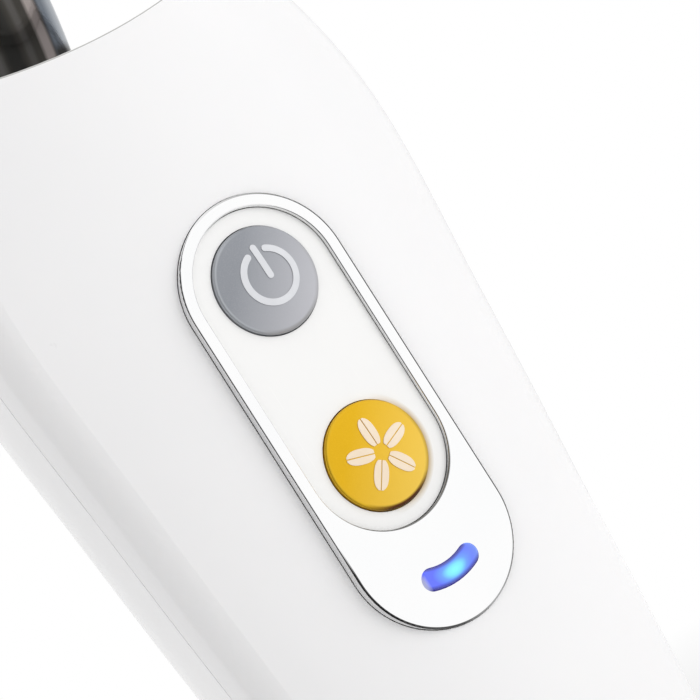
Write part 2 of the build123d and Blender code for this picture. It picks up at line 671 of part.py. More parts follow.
def neck_clamp():
    sides = (-CLAMP_HALF_WIDTH, CLAMP_HALF_WIDTH)
    clamp = box(sides, (CLAMP_FRONT_Y, CLAMP_BACK_Y), (NECK_RIB_Z, NECK_RIBS_TOP_Z))
    clamp = chamfer(clamp.edges().filter_by(Axis.Z).group_by(Axis.Y)[0], CLAMP_WALL)
    clamp -= bar(0, NECK_Y, TUBE_RADIUS + TUBE_CLEARANCE, NECK_RIB_Z - 1, NECK_RIBS_TOP_Z + 1)
    room = TUBE_FLANGE + 2 * TUBE_CLEARANCE
    clamp -= bar(0, NECK_Y, TUBE_RADIUS + room, TUBE_FLANGE_Z - TUBE_CLEARANCE,
                 TUBE_FLANGE_Z + TUBE_FLANGE_THICKNESS + TUBE_CLEARANCE)
    for x in (-CLAMP_SCREW_X, CLAMP_SCREW_X):
        clamp -= bar_along_y(x, CLAMP_Z, SCREW_RADIUS + SCREW_ROOM, CLAMP_FRONT_Y - 1, NECK_Y)
    return clamp


def clamp_screws():
    screw = Rot(90, 0, 0) * pan_screw(SCREW_RADIUS, SCREW_HEAD_RADIUS, SCREW_HEAD_HEIGHT, CLAMP_SCREW_LENGTH)
    return [Pos(x, CLAMP_FRONT_Y, CLAMP_Z) * screw for x in (-CLAMP_SCREW_X, CLAMP_SCREW_X)]


# Control panel


def control_bezel():
    """The bright surround: one opening for the two buttons and a bean-shaped one for the light."""
    bezel = panel_solid(stadium(BEZEL_RADIUS, BEZEL_LOW_Z, BEZEL_HIGH_Z), PANEL_Y, POCKET_Y)
    opening = stadium(BEZEL_OPENING_RADIUS, OPENING_LOW_Z, BEZEL_HIGH_Z)
    bezel -= panel_solid(opening, PANEL_Y - 1, POCKET_Y + 1)
    bezel = fillet(bezel.faces().sort_by(Axis.Y)[0].edges(), BEZEL_EDGE_RADIUS)
    return bezel - panel_solid(bean(LENS_CLEARANCE), PANEL_Y - 1, POCKET_Y + 1)


def control_plate():
    """The pale plate in the opening, with a round hole for each button."""
    sketch = stadium(BEZEL_OPENING_RADIUS - PLATE_CLEARANCE, OPENING_LOW_Z, BEZEL_HIGH_Z)
    plate = panel_solid(sketch, PLATE_Y, POCKET_Y)
    for z in (POWER_Z, MODE_Z):
        plate -= bar_along_y(0, z, BUTTON_RADIUS + BUTTON_CLEARANCE, PLATE_Y - 1, POCKET_Y + 1)
    return plate


def button(z):
    """A domed cap with a flange that holds it under the plate, and a stem that reaches its switch."""
    crown = BUTTON_DOME - BUTTON_EDGE_SINK
    flange_top = PANEL_Y - FLANGE_Y
    flange_low = flange_top - BUTTON_FLANGE_THICKNESS
    dome_radius = (BUTTON_RADIUS**2 + BUTTON_DOME**2) / (2 * BUTTON_DOME)
    ball = Pos(0, 0, crown - dome_radius) * Rot(0, 90, 0) * Sphere(dome_radius)
    cap = bar(0, 0, BUTTON_RADIUS, flange_low, crown + 1) & ball
    cap = fillet(cap.edges().sort_by(Axis.Z)[-1], BUTTON_EDGE_RADIUS)
    cap += bar(0, 0, FLANGE_RADIUS, flange_low, flange_top)
    cap += bar(0, 0, BUTTON_STEM_RADIUS, PANEL_Y - PLUNGER_Y + STEM_GAP, flange_low)
    return Pos(0, PANEL_Y, z) * Rot(90, 0, 0) * cap


def light_lens():
    lens = panel_solid(bean(0), PANEL_Y - LENS_PROUD, BOARD_Y - LIGHT_DEPTH - LENS_LIGHT_GAP)
    lens = fillet(lens.faces().sort_by(Axis.Y)[0].edges(), LENS_EDGE_RADIUS)
    flange_y = POCKET_Y + LENS_CLEARANCE
    return lens + panel_solid(bean(LENS_FLANGE), flange_y, flange_y + LENS_FLANGE_THICKNESS)


def switch(z):
    """A push switch on the board, with two bent legs on each side and a well for its plunger."""
    half = SWITCH_SIZE / 2
    body = box((-half, half), (SWITCH_Y, BOARD_Y), (z - half, z + half))
    body = chamfer(body.edges().filter_by(Axis.Y), SWITCH_CHAMFER)
    reach = half + SWITCH_LEG_REACH
    for leg_z in (z - SWITCH_LEG_PITCH / 2, z + SWITCH_LEG_PITCH / 2):
        leg = (leg_z - SWITCH_LEG / 2, leg_z + SWITCH_LEG / 2)
        body += box((-reach, reach), (BOARD_Y - SWITCH_LEG, BOARD_Y), leg)
    well = SWITCH_Y + PLUNGER_ROOT + BUTTON_TRAVEL + PLUNGER_CLEARANCE
    return body - bar_along_y(0, z, PLUNGER_RADIUS + PLUNGER_CLEARANCE, SWITCH_Y - 1, well)


def plunger(z):
    piece = bar_along_y(0, z, PLUNGER_RADIUS, PLUNGER_Y, SWITCH_Y + PLUNGER_ROOT)
    return chamfer(piece.edges().sort_by(Axis.Y)[0], PLUNGER_CHAMFER)


def control_board():
    sketch = RectangleRounded(2 * BOARD_HALF_WIDTH, BOARD_TOP_Z - BOARD_BOTTOM_Z, BOARD_CORNER_RADIUS)
    board = panel_solid(Pos(0, (BOARD_TOP_Z + BOARD_BOTTOM_Z) / 2) * sketch, BOARD_Y, BOARD_BACK_Y)
    for x, z in POSTS:
        board -= bar_along_y(x, z, BOARD_SCREW_RADIUS + SCREW_ROOM / 2, BOARD_Y - 1, BOARD_BACK_Y + 1)
    return board


def board_screws():
    """Four small screws that hold the board to the posts of the front shell."""
    screw = bar(0, 0, BOARD_SCREW_HEAD_RADIUS, 0, BOARD_SCREW_HEAD_HEIGHT)
    screw += bar(0, 0, BOARD_SCREW_RADIUS, -BOARD_SCREW_LENGTH, 0)
    return [Pos(x, BOARD_BACK_Y, z) * Rot(-90, 0, 0) * screw for x, z in POSTS]


def status_light():
    """The lamp on the board: a block with a round nose that points at the lens."""
    low = BOARD_Y - LIGHT_DEPTH
    half = LIGHT_HEIGHT / 2
    width = (-LIGHT_WIDTH / 2, LIGHT_WIDTH / 2)
    block = box(width, ((low + BOARD_Y) / 2, BOARD_Y), (LENS_Z - half, LENS_Z + half))
    nose = bar_along_y(0, LENS_Z, half, low, BOARD_Y)
    return block + fillet(nose.edges().sort_by(Axis.Y)[0], LIGHT_NOSE_RADIUS)


def board_connector(z):
    half_width = CONNECTOR_WIDTH / 2
    half_height = CONNECTOR_HEIGHT / 2
    body = box((-half_width, half_width), (BOARD_BACK_Y, CONNECTOR_Y), (z - half_height, z + half_height))
    return chamfer(body.edges().filter_by(Axis.Y), CONNECTOR_CHAMFER)


# Battery


def battery_cell():
    shoulder = CELL_TOP_Z - CELL_CAP_HEIGHT
    can = bar(0, CELL_Y, CELL_RADIUS, CELL_BOTTOM_Z, shoulder)
    can = fillet(can.edges().filter_by(GeomType.CIRCLE), CELL_EDGE_RADIUS)
    return can + bar(0, CELL_Y, CELL_CAP_RADIUS, shoulder - 1, CELL_TOP_Z)


def top_tab():
    return bar(0, CELL_Y, TAB_RADIUS, TOP_TAB_Z, TOP_TAB_Z + TAB_THICKNESS)


def bottom_tab():
    """A disc under the cell with a strip that folds up along its front."""
    high = CELL_BOTTOM_Z - TAB_CLEARANCE
    low = high - TAB_THICKNESS
    back = CELL_Y - CELL_RADIUS - CRADLE_CLEARANCE
    front = back - TAB_THICKNESS
    width = (-STRIP_HALF_WIDTH, STRIP_HALF_WIDTH)
    tab = bar(0, CELL_Y, TAB_RADIUS, low, high) + box(width, (front, CELL_Y), (low, high))
    strip_top = BEZEL_LOW_Z - BEZEL_RADIUS - WEB_MARGIN - BOARD_CLEARANCE
    return tab + box(width, (front, back), (low, strip_top))


def battery_cradle():
    """A trough behind the cell with an end wall at each end, seated in the ribs of the rear shell."""
    room = (CRADLE_BOTTOM_Z + CRADLE_END, CRADLE_TOP_Z - CRADLE_END)
    cradle = bar(0, CELL_Y, CRADLE_RADIUS, CRADLE_BOTTOM_Z, CRADLE_TOP_Z)
    cradle -= bar(0, CELL_Y, CELL_RADIUS + CRADLE_CLEARANCE, *room)
    cradle -= box((-FAR, FAR), (-FAR, CELL_Y - CRADLE_OPEN), room)
    cradle &= behind(CELL_Y - CELL_RADIUS)
    hole_radius = LEAD_RADIUS + LEAD_HOLE_CLEARANCE / 2
    for x in (-CELL_LEAD_X, CELL_LEAD_X):
        cradle -= bar(x, CELL_Y, hole_radius, CRADLE_TOP_Z - 2 * CRADLE_END, CRADLE_TOP_Z + 1)
    return cradle


# Wires


def lead_corner(x, y_back, y_front, z_from, z_corner, up):
    """A wire that runs upright at y_back, turns through one round corner and runs forward at z_corner."""
    turn_z = z_corner - up * LEAD_BEND
    middle = (x, y_back - LEAD_BEND * (1 - cos(pi / 4)), turn_z + up * LEAD_BEND * sin(pi / 4))
    lines = [Line((x, y_back, z_from), (x, y_back, turn_z))]
    lines += [ThreePointArc((x, y_back, turn_z), middle, (x, y_back - LEAD_BEND, z_corner))]
    lines += [Line((x, y_back - LEAD_BEND, z_corner), (x, y_front, z_corner))]
    path = Wire([line.edge() for line in lines])
    return sweep(Pos(x, y_back, z_from) * Circle(LEAD_RADIUS), path=path)


def motor_leads():
    """Two wires from the board, up through the neck to the motor."""
    upper = neck_bar(LEAD_RADIUS, TUBE_BOTTOM_Z, MOTOR_BOTTOM_Z - TERMINAL_LENGTH - LEAD_GAP)
    wires = []
    for x in (-MOTOR_LEAD_X, MOTOR_LEAD_X):
        lower = lead_corner(x, NECK_Y, CONNECTOR_Y + LEAD_GAP, TUBE_BOTTOM_Z, LEAD_CONNECTOR_Z, -1)
        wires.append(Pos(x, 0, 0) * upper + lower)
    return wires


def cell_leads():
    high = CHARGE_CONNECTOR_Z - CONNECTOR_HEIGHT / 2 - LEAD_GAP
    low = TOP_TAB_Z + TAB_THICKNESS + LEAD_GAP
    return [bar(x, CELL_Y, LEAD_RADIUS, low, high) for x in (-CELL_LEAD_X, CELL_LEAD_X)]


def socket_leads():
    low = CAP_FLOOR + SOCKET_HEIGHT + LEAD_GAP
    front = CONNECTOR_Y + LEAD_GAP
    sides = (-SOCKET_LEAD_X, SOCKET_LEAD_X)
    return [lead_corner(x, SOCKET_LEAD_Y, front, low, CHARGE_CONNECTOR_Z, 1) for x in sides]


# Head


def flare(inset, low_z, high_z):
    """A solid of revolution under the curve that opens from the neck to the full width of the head."""
    foot = HEAD_NECK_RADIUS - inset
    rim = HEAD_RADIUS - inset
    bend_z = HEAD_BASE_Z + HEAD_FLARE
    curve = Bezier((foot, HEAD_BASE_Z), (foot, bend_z), (rim, bend_z), (rim, HEAD_JOINT_Z))
    closing = Polyline((rim, HEAD_JOINT_Z), (0, HEAD_JOINT_Z), (0, HEAD_BASE_Z), (foot, HEAD_BASE_Z))
    face = make_face([curve, closing])
    solid = Pos(0, HEAD_Y, 0) * revolve(Rot(90, 0, 0) * face, axis=Axis.Z)
    return solid & bar(0, HEAD_Y, HEAD_RADIUS + 1, low_z, high_z)


def round_head_screws():
    """The places of the head's screws, on a circle round the neck."""
    turns = [radians(angle) for angle in HEAD_SCREW_ANGLES]
    return [(HEAD_SCREW_CIRCLE * cos(turn), HEAD_Y + HEAD_SCREW_CIRCLE * sin(turn)) for turn in turns]


def head_base():
    base = flare(0, HEAD_BASE_Z, HEAD_JOINT_Z)
    base -= flare(HEAD_WALL, HEAD_FLOOR_Z, HEAD_JOINT_Z)
    base -= bar(0, HEAD_Y, TUBE_RADIUS + TUBE_CLEARANCE, HEAD_BASE_Z - 1, HEAD_FLOOR_Z + 1)
    seat = HEAD_JOINT_Z - HEAD_SCREW_SEAT
    for x, y in round_head_screws():
        base += bar(x, y, HEAD_BOSS_RADIUS, HEAD_FLOOR_Z, HEAD_JOINT_Z) & flare(0, HEAD_BASE_Z, HEAD_JOINT_Z)
        base -= bar(x, y, SCREW_RADIUS + SCREW_ROOM, seat - 1, HEAD_JOINT_Z + 1)
        base -= bar(x, y, SCREW_HEAD_RADIUS + SCREW_ROOM, HEAD_BASE_Z, seat)
    return base


def head_screws():
    screw = Rot(180, 0, 0) * pan_screw(SCREW_RADIUS, SCREW_HEAD_RADIUS, SCREW_HEAD_HEIGHT, HEAD_SCREW_LENGTH)
    return [Pos(x, y, HEAD_JOINT_Z - HEAD_SCREW_SEAT) * screw for x, y in round_head_screws()]


def neck_ferrule():
    """The bright cone between the tube and the head."""
    bore = TUBE_RADIUS + TUBE_CLEARANCE
    low, high = FERRULE_Z, HEAD_BASE_Z
    return turned([(bore, low), (FERRULE_RADIUS, low), (HEAD_NECK_RADIUS, high), (bore, high)], HEAD_Y)


def neck_nut():
    hexagon = Pos(0, HEAD_Y, HEAD_FLOOR_Z) * RegularPolygon(NUT_FLATS / 2, 6, major_radius=False)
    nut = extrude(hexagon, amount=NUT_THICKNESS)
    return nut - bar(0, HEAD_Y, TUBE_RADIUS + SCREW_FIT, HEAD_FLOOR_Z - 1, TUBE_TOP_Z + 1)


def head_ring():
    trim = ring(HEAD_Y, CORE_RADIUS + PAD_CLEARANCE, HEAD_RADIUS + RING_PROUD, HEAD_JOINT_Z, RING_TOP_Z)
    outer = [e for e in trim.edges().filter_by(GeomType.CIRCLE) if e.radius > HEAD_RADIUS]
    return fillet(outer, RING_EDGE_RADIUS)


def dome(inset, low_z):
    """The outside of the head above low_z, with its rounded top, drawn in by inset."""
    turn = meeting_angle(HEAD_RADIUS, HEAD_DOME, HEAD_CORNER_RADIUS)
    crest = crest_radius(HEAD_RADIUS, HEAD_DOME, HEAD_CORNER_RADIUS)
    corner = HEAD_CORNER_RADIUS - inset
    crown = crest - inset
    half_way = (turn + pi / 2) / 2

    def on_corner(angle):
        return HEAD_RADIUS - HEAD_CORNER_RADIUS + corner * cos(angle), DOME_Z + corner * sin(angle)

    top = (0, HEAD_TOP_Z - inset)
    shoulder = (crown * cos(half_way), HEAD_TOP_Z - crest + crown * sin(half_way))
    side = HEAD_RADIUS - inset
    edges = [
        ThreePointArc(on_corner(0), on_corner(turn / 2), on_corner(turn)),
        ThreePointArc(on_corner(turn), shoulder, top),
        Polyline(top, (0, low_z), (side, low_z), (side, DOME_Z)),
    ]
    return Pos(0, HEAD_Y, 0) * revolve(Rot(90, 0, 0) * make_face(edges), axis=Axis.Z)


def head_pad():
    return dome(0, RING_TOP_Z) - dome(PAD_THICKNESS, RING_TOP_Z - 1)


def head_core():
    """The stiff dome inside the pad, with a barrel for the motor and a partition under the weight."""
    skin = PAD_THICKNESS + PAD_CLEARANCE
    outside = dome(skin, HEAD_JOINT_Z)
    core = outside - dome(skin + CORE_WALL, HEAD_JOINT_Z - 1)
    core += ring(HEAD_Y, BARREL_RADIUS, BARREL_RADIUS + BARREL_WALL, HEAD_JOINT_Z, PARTITION_Z + CORE_WALL)
    boss_hole = MOTOR_BOSS_RADIUS + SLEEVE_CLEARANCE
    core += ring(HEAD_Y, boss_hole, CORE_RADIUS - CORE_WALL / 2, PARTITION_Z, PARTITION_Z + CORE_WALL)
    for x, y in round_head_screws():
        core += bar(x, y, HEAD_BOSS_RADIUS, HEAD_JOINT_Z, HEAD_JOINT_Z + HEAD_BOSS_HEIGHT) & outside
        core -= bar(x, y, SCREW_RADIUS + SCREW_FIT, HEAD_JOINT_Z - 1, HEAD_JOINT_Z + HEAD_BOSS_HEIGHT - 1)
    return core


# Motor


def motor_can():
    low = MOTOR_BOTTOM_Z + END_BELL_THICKNESS
    can = bar(0, HEAD_Y, MOTOR_RADIUS, low, MOTOR_TOP_Z)
    can = fillet(can.edges().sort_by(Axis.Z)[-1], MOTOR_WALL)
    can += bar(0, HEAD_Y, MOTOR_BOSS_RADIUS, MOTOR_TOP_Z - MOTOR_WALL, MOTOR_TOP_Z + MOTOR_BOSS_HEIGHT)
    can -= bar(0, HEAD_Y, MOTOR_BORE_RADIUS, low - 1, MOTOR_TOP_Z - MOTOR_WALL)
    return can - bar(0, HEAD_Y, BUSH_RADIUS, low, MOTOR_TOP_Z + MOTOR_BOSS_HEIGHT + 1)


def motor_end_bell():
    bell = bar(0, HEAD_Y, MOTOR_RADIUS, MOTOR_BOTTOM_Z, MOTOR_BOTTOM_Z + END_BELL_THICKNESS)
    bell = fillet(bell.edges().sort_by(Axis.Z)[0], MOTOR_WALL / 2)
    return bell - bar(0, HEAD_Y, BUSH_RADIUS, MOTOR_BOTTOM_Z + SHAFT_START, MOTOR_TOP_Z)


def motor_bushes():
    """One bearing bush in the end bell and one in the boss of the can."""
    inner = SHAFT_RADIUS + BUSH_CLEARANCE
    low = MOTOR_BOTTOM_Z + SHAFT_START
    high = MOTOR_TOP_Z + MOTOR_BOSS_HEIGHT
    lower = ring(HEAD_Y, inner, BUSH_RADIUS, low, low + BUSH_HEIGHT)
    return [lower, ring(HEAD_Y, inner, BUSH_RADIUS, high - BUSH_HEIGHT, high)]


def motor_terminals():
    half = TERMINAL_WIDTH / 2
    thickness = (HEAD_Y - TERMINAL_THICKNESS / 2, HEAD_Y + TERMINAL_THICKNESS / 2)
    height = (MOTOR_BOTTOM_Z - TERMINAL_LENGTH, MOTOR_BOTTOM_Z)
    return [box((x - half, x + half), thickness, height) for x in (-MOTOR_LEAD_X, MOTOR_LEAD_X)]


def motor_magnets():
    """Two curved magnets that line the can."""
    low, high = MOTOR_MIDDLE_Z - MAGNET_HEIGHT / 2, MOTOR_MIDDLE_Z + MAGNET_HEIGHT / 2
    inner, outer = MOTOR_BORE_RADIUS - MAGNET_THICKNESS, MOTOR_BORE_RADIUS
    face = make_face(Polyline((inner, low), (outer, low), (outer, high), (inner, high), close=True))
    magnet = revolve(Rot(90, 0, 0) * face, axis=Axis.Z, revolution_arc=MAGNET_SPREAD)
    return [Pos(0, HEAD_Y, 0) * Rot(0, 0, turn - MAGNET_SPREAD / 2) * magnet for turn in (0, 180)]


def motor_armature():
    """The iron core that turns between the magnets: a hub with one wide-tipped pole every third of a turn."""
    low, high = MOTOR_MIDDLE_Z - ARMATURE_HEIGHT / 2, MOTOR_MIDDLE_Z + ARMATURE_HEIGHT / 2
    half_slot = ARMATURE_SLOT / 2
    half_pocket = ARMATURE_POCKET / 2
    past = (low - 1, high + 1)
    slot = box((ARMATURE_HUB_RADIUS, ARMATURE_RADIUS + 1), (-half_slot, half_slot), past)
    pocket = ring(0, ARMATURE_HUB_RADIUS, ARMATURE_RADIUS - ARMATURE_TIP, *past)
    pocket &= box((ARMATURE_HUB_RADIUS / 2, FAR), (-half_pocket, half_pocket), past)
    core = bar(0, HEAD_Y, ARMATURE_RADIUS, low, high)
    for k in range(ARMATURE_POLES):
        turn = Pos(0, HEAD_Y, 0) * Rot(0, 0, 360 / ARMATURE_POLES * (k + 0.5))
        core = core - turn * slot - turn * pocket
    return core - bar(0, HEAD_Y, SHAFT_RADIUS, *past)


def motor_shaft():
    return bar(0, HEAD_Y, SHAFT_RADIUS, MOTOR_BOTTOM_Z + SHAFT_START, SHAFT_TOP_Z)


def motor_sleeve():
    """A rubber tube round the motor with a lip under it, which keeps its shake off the barrel."""
    inner = MOTOR_RADIUS + SLEEVE_CLEARANCE
    lip = MOTOR_RADIUS - SLEEVE_LIP
    high = MOTOR_TOP_Z - MOTOR_WALL
    seat = MOTOR_BOTTOM_Z - SLEEVE_CLEARANCE
    low = seat - SLEEVE_LIP_THICKNESS
    outer = SLEEVE_RADIUS
    points = [(lip, low), (outer, low), (outer, high), (inner, high), (inner, seat), (lip, seat)]
    return turned(points, HEAD_Y)


def eccentric_weight():
    """Half a disc on a hub, whose off-centre mass shakes the head as it turns."""
    disc = bar(0, HEAD_Y, WEIGHT_RADIUS, WEIGHT_Z, SHAFT_TOP_Z) & behind(HEAD_Y)
    weight = disc + bar(0, HEAD_Y, WEIGHT_HUB_RADIUS, WEIGHT_Z, SHAFT_TOP_Z)
    return weight - bar(0, HEAD_Y, SHAFT_RADIUS, WEIGHT_Z - 1, SHAFT_TOP_Z + 1)


def save(name, shape):
    """Writes one node. A list of solids makes one node of separate solids."""
    solids = shape if isinstance(shape, list) else [shape]
    parts = [solid for item in solids for solid in item.solids()]
    export_step(Compound(children=parts) if len(parts) > 1 else parts[0], f"parts/{name}.step")


os.makedirs("parts", exist_ok=True)
LEDGE = deck_ledge()
save("front_shell", front_shell(LEDGE))
save("rear_shell", rear_shell(LEDGE))
save("tail_cap", tail_cap())
save("shell_screws", shell_screws())
save("charge_socket", charge_socket())
save("charge_pin", charge_pin())
save("socket_leads", socket_leads())
save("top_deck", top_deck())
save("neck_grommet", neck_grommet())
save("neck_tube", neck_tube())
save("neck_clamp", neck_clamp())
save("clamp_screws", clamp_screws())
save("control_bezel", control_bezel())
save("control_plate", control_plate())
save("power_button", button(POWER_Z))
save("mode_button", button(MODE_Z))
save("power_plunger", plunger(POWER_Z))
save("mode_plunger", plunger(MODE_Z))
save("power_switch", switch(POWER_Z))
save("mode_switch", switch(MODE_Z))
save("light_lens", light_lens())
save("status_light", status_light())
save("control_board", control_board())
save("board_screws", board_screws())
save("lead_connector", board_connector(LEAD_CONNECTOR_Z))
save("charge_connector", board_connector(CHARGE_CONNECTOR_Z))
save("battery_cell", battery_cell())
save("cell_tabs", [top_tab(), bottom_tab()])
save("battery_cradle", battery_cradle())
save("cell_leads", cell_leads())
save("motor_leads", motor_leads())
save("neck_ferrule", neck_ferrule())
save("neck_nut", neck_nut())
save("head_base", head_base())
save("head_screws", head_screws())
save("head_ring", head_ring())
save("head_core", head_core())
save("head_pad", head_pad())
save("motor_can", motor_can())
save("motor_end_bell", motor_end_bell())
save("motor_bushes", motor_bushes())
save("motor_terminals", motor_terminals())
save("motor_magnets", motor_magnets())
save("motor_sleeve", motor_sleeve())
save("motor_armature", motor_armature())
save("motor_shaft", motor_shaft())
save("eccentric_weight", eccentric_weight())
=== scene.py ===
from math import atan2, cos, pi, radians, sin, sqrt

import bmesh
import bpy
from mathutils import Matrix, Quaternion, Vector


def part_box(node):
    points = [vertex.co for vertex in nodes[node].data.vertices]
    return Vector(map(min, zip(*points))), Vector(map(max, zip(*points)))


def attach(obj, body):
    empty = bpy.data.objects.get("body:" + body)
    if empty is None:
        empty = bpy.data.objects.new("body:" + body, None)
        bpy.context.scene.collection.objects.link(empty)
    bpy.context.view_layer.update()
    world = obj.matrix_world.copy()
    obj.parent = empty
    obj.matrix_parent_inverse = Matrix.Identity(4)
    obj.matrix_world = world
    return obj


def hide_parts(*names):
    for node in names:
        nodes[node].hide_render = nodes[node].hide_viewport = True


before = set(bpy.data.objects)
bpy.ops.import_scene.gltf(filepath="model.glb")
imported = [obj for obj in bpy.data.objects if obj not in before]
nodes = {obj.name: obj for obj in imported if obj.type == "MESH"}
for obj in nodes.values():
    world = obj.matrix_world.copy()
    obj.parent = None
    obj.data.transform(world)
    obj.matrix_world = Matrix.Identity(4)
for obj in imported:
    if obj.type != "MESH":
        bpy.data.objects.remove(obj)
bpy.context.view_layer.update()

# %% [markdown]
# # A wand massager, seen close to its control panel
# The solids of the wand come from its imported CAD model, which is already loaded above as a fixed
# frame. This lesson gives each of them its finish, adds the printed signs on the two buttons and
# the soft cover of the head, and lights the whole like a small product photograph.
# All lengths in Blender are metres, so a helper value turns millimetres into metres.

MM = 0.001

# %% [markdown]
# ## Camera
# The picture is a close view with a long lens, taken from the wand's left, level with the power
# button, with the camera rolled so that the wand leans across the frame. A camera could be aimed
# with a constraint, but a heading, a tilt and a roll say the same with three numbers, and they
# can be read and changed one by one.

# %% Camera
CAMERA_PLACE = Vector((-112.94, -239.06, 115.20)) * MM
CAMERA_HEADING = radians(27.50)
CAMERA_TILT = radians(-0.126)
CAMERA_ROLL = radians(-32.45)
CAMERA_LENS = 130.72
SENSOR_WIDTH = 36.0
CLIP_START = 0.01

camera_data = bpy.data.cameras.new("camera")
camera_data.lens = CAMERA_LENS
camera_data.sensor_width = SENSOR_WIDTH
camera_data.clip_start = CLIP_START
camera = bpy.data.objects.new("camera", camera_data)
bpy.context.scene.collection.objects.link(camera)
level = cos(CAMERA_TILT)
looking = Vector((sin(CAMERA_HEADING) * level, cos(CAMERA_HEADING) * level, sin(CAMERA_TILT)))
camera.rotation_mode = "QUATERNION"
camera.rotation_quaternion = looking.to_track_quat("-Z", "Y") @ Quaternion((0, 0, 1), CAMERA_ROLL)
camera.location = CAMERA_PLACE
bpy.context.scene.camera = camera
bpy.context.scene.view_settings.view_transform = "Standard"
turned = camera.rotation_quaternion.to_matrix()
print("camera's right:", [round(v, 4) for v in turned.col[0]], "up:", [round(v, 4) for v in turned.col[1]])

# %% [markdown]
# ## Helpers for materials
# A Principled BSDF is the base of every finish. It could be set up by hand in each cell, but these
# helpers make one, set the sockets that are the same all over the surface, and place other nodes
# beside it, so that the cells below read like a recipe.

# %% Helpers for materials


def new_material(name, color, roughness, **sockets):
    """A material with one Principled BSDF, and its uniform numbers set on its own sockets."""
    material = bpy.data.materials.new(name)
    material.use_nodes = True
    shader = material.node_tree.nodes["Principled BSDF"]
    shader.inputs["Base Color"].default_value = (*color, 1)
    shader.inputs["Roughness"].default_value = roughness
    for socket, value in sockets.items():
        shader.inputs[socket.replace("_", " ")].default_value = value
    return material, material.node_tree, shader


def add_node(tree, kind, **values):
    """A node with its settings and input values."""
    node = tree.nodes.new(kind)
    for key, value in values.items():
        if key in node.inputs:
            node.inputs[key].default_value = value
        else:
            setattr(node, key, value)
    return node


def place_coordinates(tree, scale=1.0):
    """Object coordinates, scaled by a Mapping node."""
    source = tree.nodes.new("ShaderNodeTexCoord")
    mapping = add_node(tree, "ShaderNodeMapping", Scale=(scale, scale, scale))
    tree.links.new(source.outputs["Object"], mapping.inputs["Vector"])
    return mapping.outputs["Vector"]


def give(material, *names):
    """Puts a material in every slot of the named CAD nodes."""
    for name in names:
        for slot in nodes[name].material_slots:
            slot.material = material
    print(material.name, "on CAD nodes:", len(names))


# %% [markdown]
# ## Shared effects
# Moulded plastic is never perfectly flat: its skin has a faint swell from cooling, and handling
# leaves very fine hairlines and a little dust that changes its gloss. These effects could be
# drawn in every material, but as node groups they are built once and each finish turns them up
# or down.

# %% Groups for the skin of a surface and for its handling marks
FLOAT = "NodeSocketFloat"
COLOR = "NodeSocketColor"
VECTOR = "NodeSocketVector"
HAIRLINE_STRETCH = (4000.0, 4000.0, 90.0)
HAIRLINE_TURNS = (0.5, 2.1)
HAIRLINE_LEVELS = (0.70, 0.82)
FILM_SCALE = 140.0


def start_group(name, inputs, outputs):
    """A node group with its sockets. Each is given by its kind, or by its usual value if it has one."""
    group = bpy.data.node_groups.new(name, "ShaderNodeTree")
    for way, sockets in (("INPUT", inputs), ("OUTPUT", outputs)):
        for socket_name, given in sockets.items():
            kind = given if isinstance(given, str) else FLOAT
            socket = group.interface.new_socket(name=socket_name, in_out=way, socket_type=kind)
            if not isinstance(given, str):
                socket.default_value = given
    inlet = group.nodes.new("NodeGroupInput")
    outlet = group.nodes.new("NodeGroupOutput")
    return group, inlet.outputs, outlet.inputs


def math_node(tree, operation, first, second=0.0):
    """A Math node. Each of first and second is a socket or a number."""
    node = tree.nodes.new("ShaderNodeMath")
    node.operation = operation
    for place, value in enumerate((first, second)):
        if isinstance(value, (int, float)):
            node.inputs[place].default_value = value
        else:
            tree.links.new(value, node.inputs[place])
    return node.outputs[0]


def span_mask(tree, value, begin, end):
    """A mask that rises from 0 to 1 while a value goes from begin to end."""
    span = tree.nodes.new("ShaderNodeMapRange")
    for name, limit in (("From Min", begin), ("From Max", end)):
        if isinstance(limit, (int, float)):
            span.inputs[name].default_value = limit
        else:
            tree.links.new(limit, span.inputs[name])
    tree.links.new(value, span.inputs["Value"])
    return span.outputs["Result"]


def plane_distance(tree, first, second):
    """The length of a line whose two sides are known."""
    squares = [math_node(tree, "MULTIPLY", side, side) for side in (first, second)]
    return math_node(tree, "SQRT", math_node(tree, "ADD", *squares))


def mix_colors(tree, mask, first, second):
    """A Mix node for colours. Each of first and second is a socket or a colour."""
    mix = add_node(tree, "ShaderNodeMix", data_type="RGBA")
    inputs = [socket for socket in mix.inputs if socket.type == "RGBA"]
    for socket, color in zip(inputs, (first, second)):
        if isinstance(color, bpy.types.NodeSocket):
            tree.links.new(color, socket)
        else:
            socket.default_value = color
    tree.links.new(mask, mix.inputs["Factor"])
    return [socket for socket in mix.outputs if socket.type == "RGBA"][0]


def make_skin_group():
    """Puts out a height that mixes a broad swell with a fine grain."""
    inputs = {"Vector": VECTOR, "Swell Scale": 60.0, "Swell": 1.0, "Grain Scale": 6000.0, "Grain": 0.1}
    group, inlet, outlet = start_group("moulded_skin", inputs, {"Height": FLOAT})
    heights = []
    for scale, amount, detail in (("Swell Scale", "Swell", 1.0), ("Grain Scale", "Grain", 3.0)):
        noise = add_node(group, "ShaderNodeTexNoise", Detail=detail)
        group.links.new(inlet["Vector"], noise.inputs["Vector"])
        group.links.new(inlet[scale], noise.inputs["Scale"])
        heights.append(math_node(group, "MULTIPLY", noise.outputs["Fac"], inlet[amount]))
    group.links.new(math_node(group, "ADD", *heights), outlet["Height"])
    return group


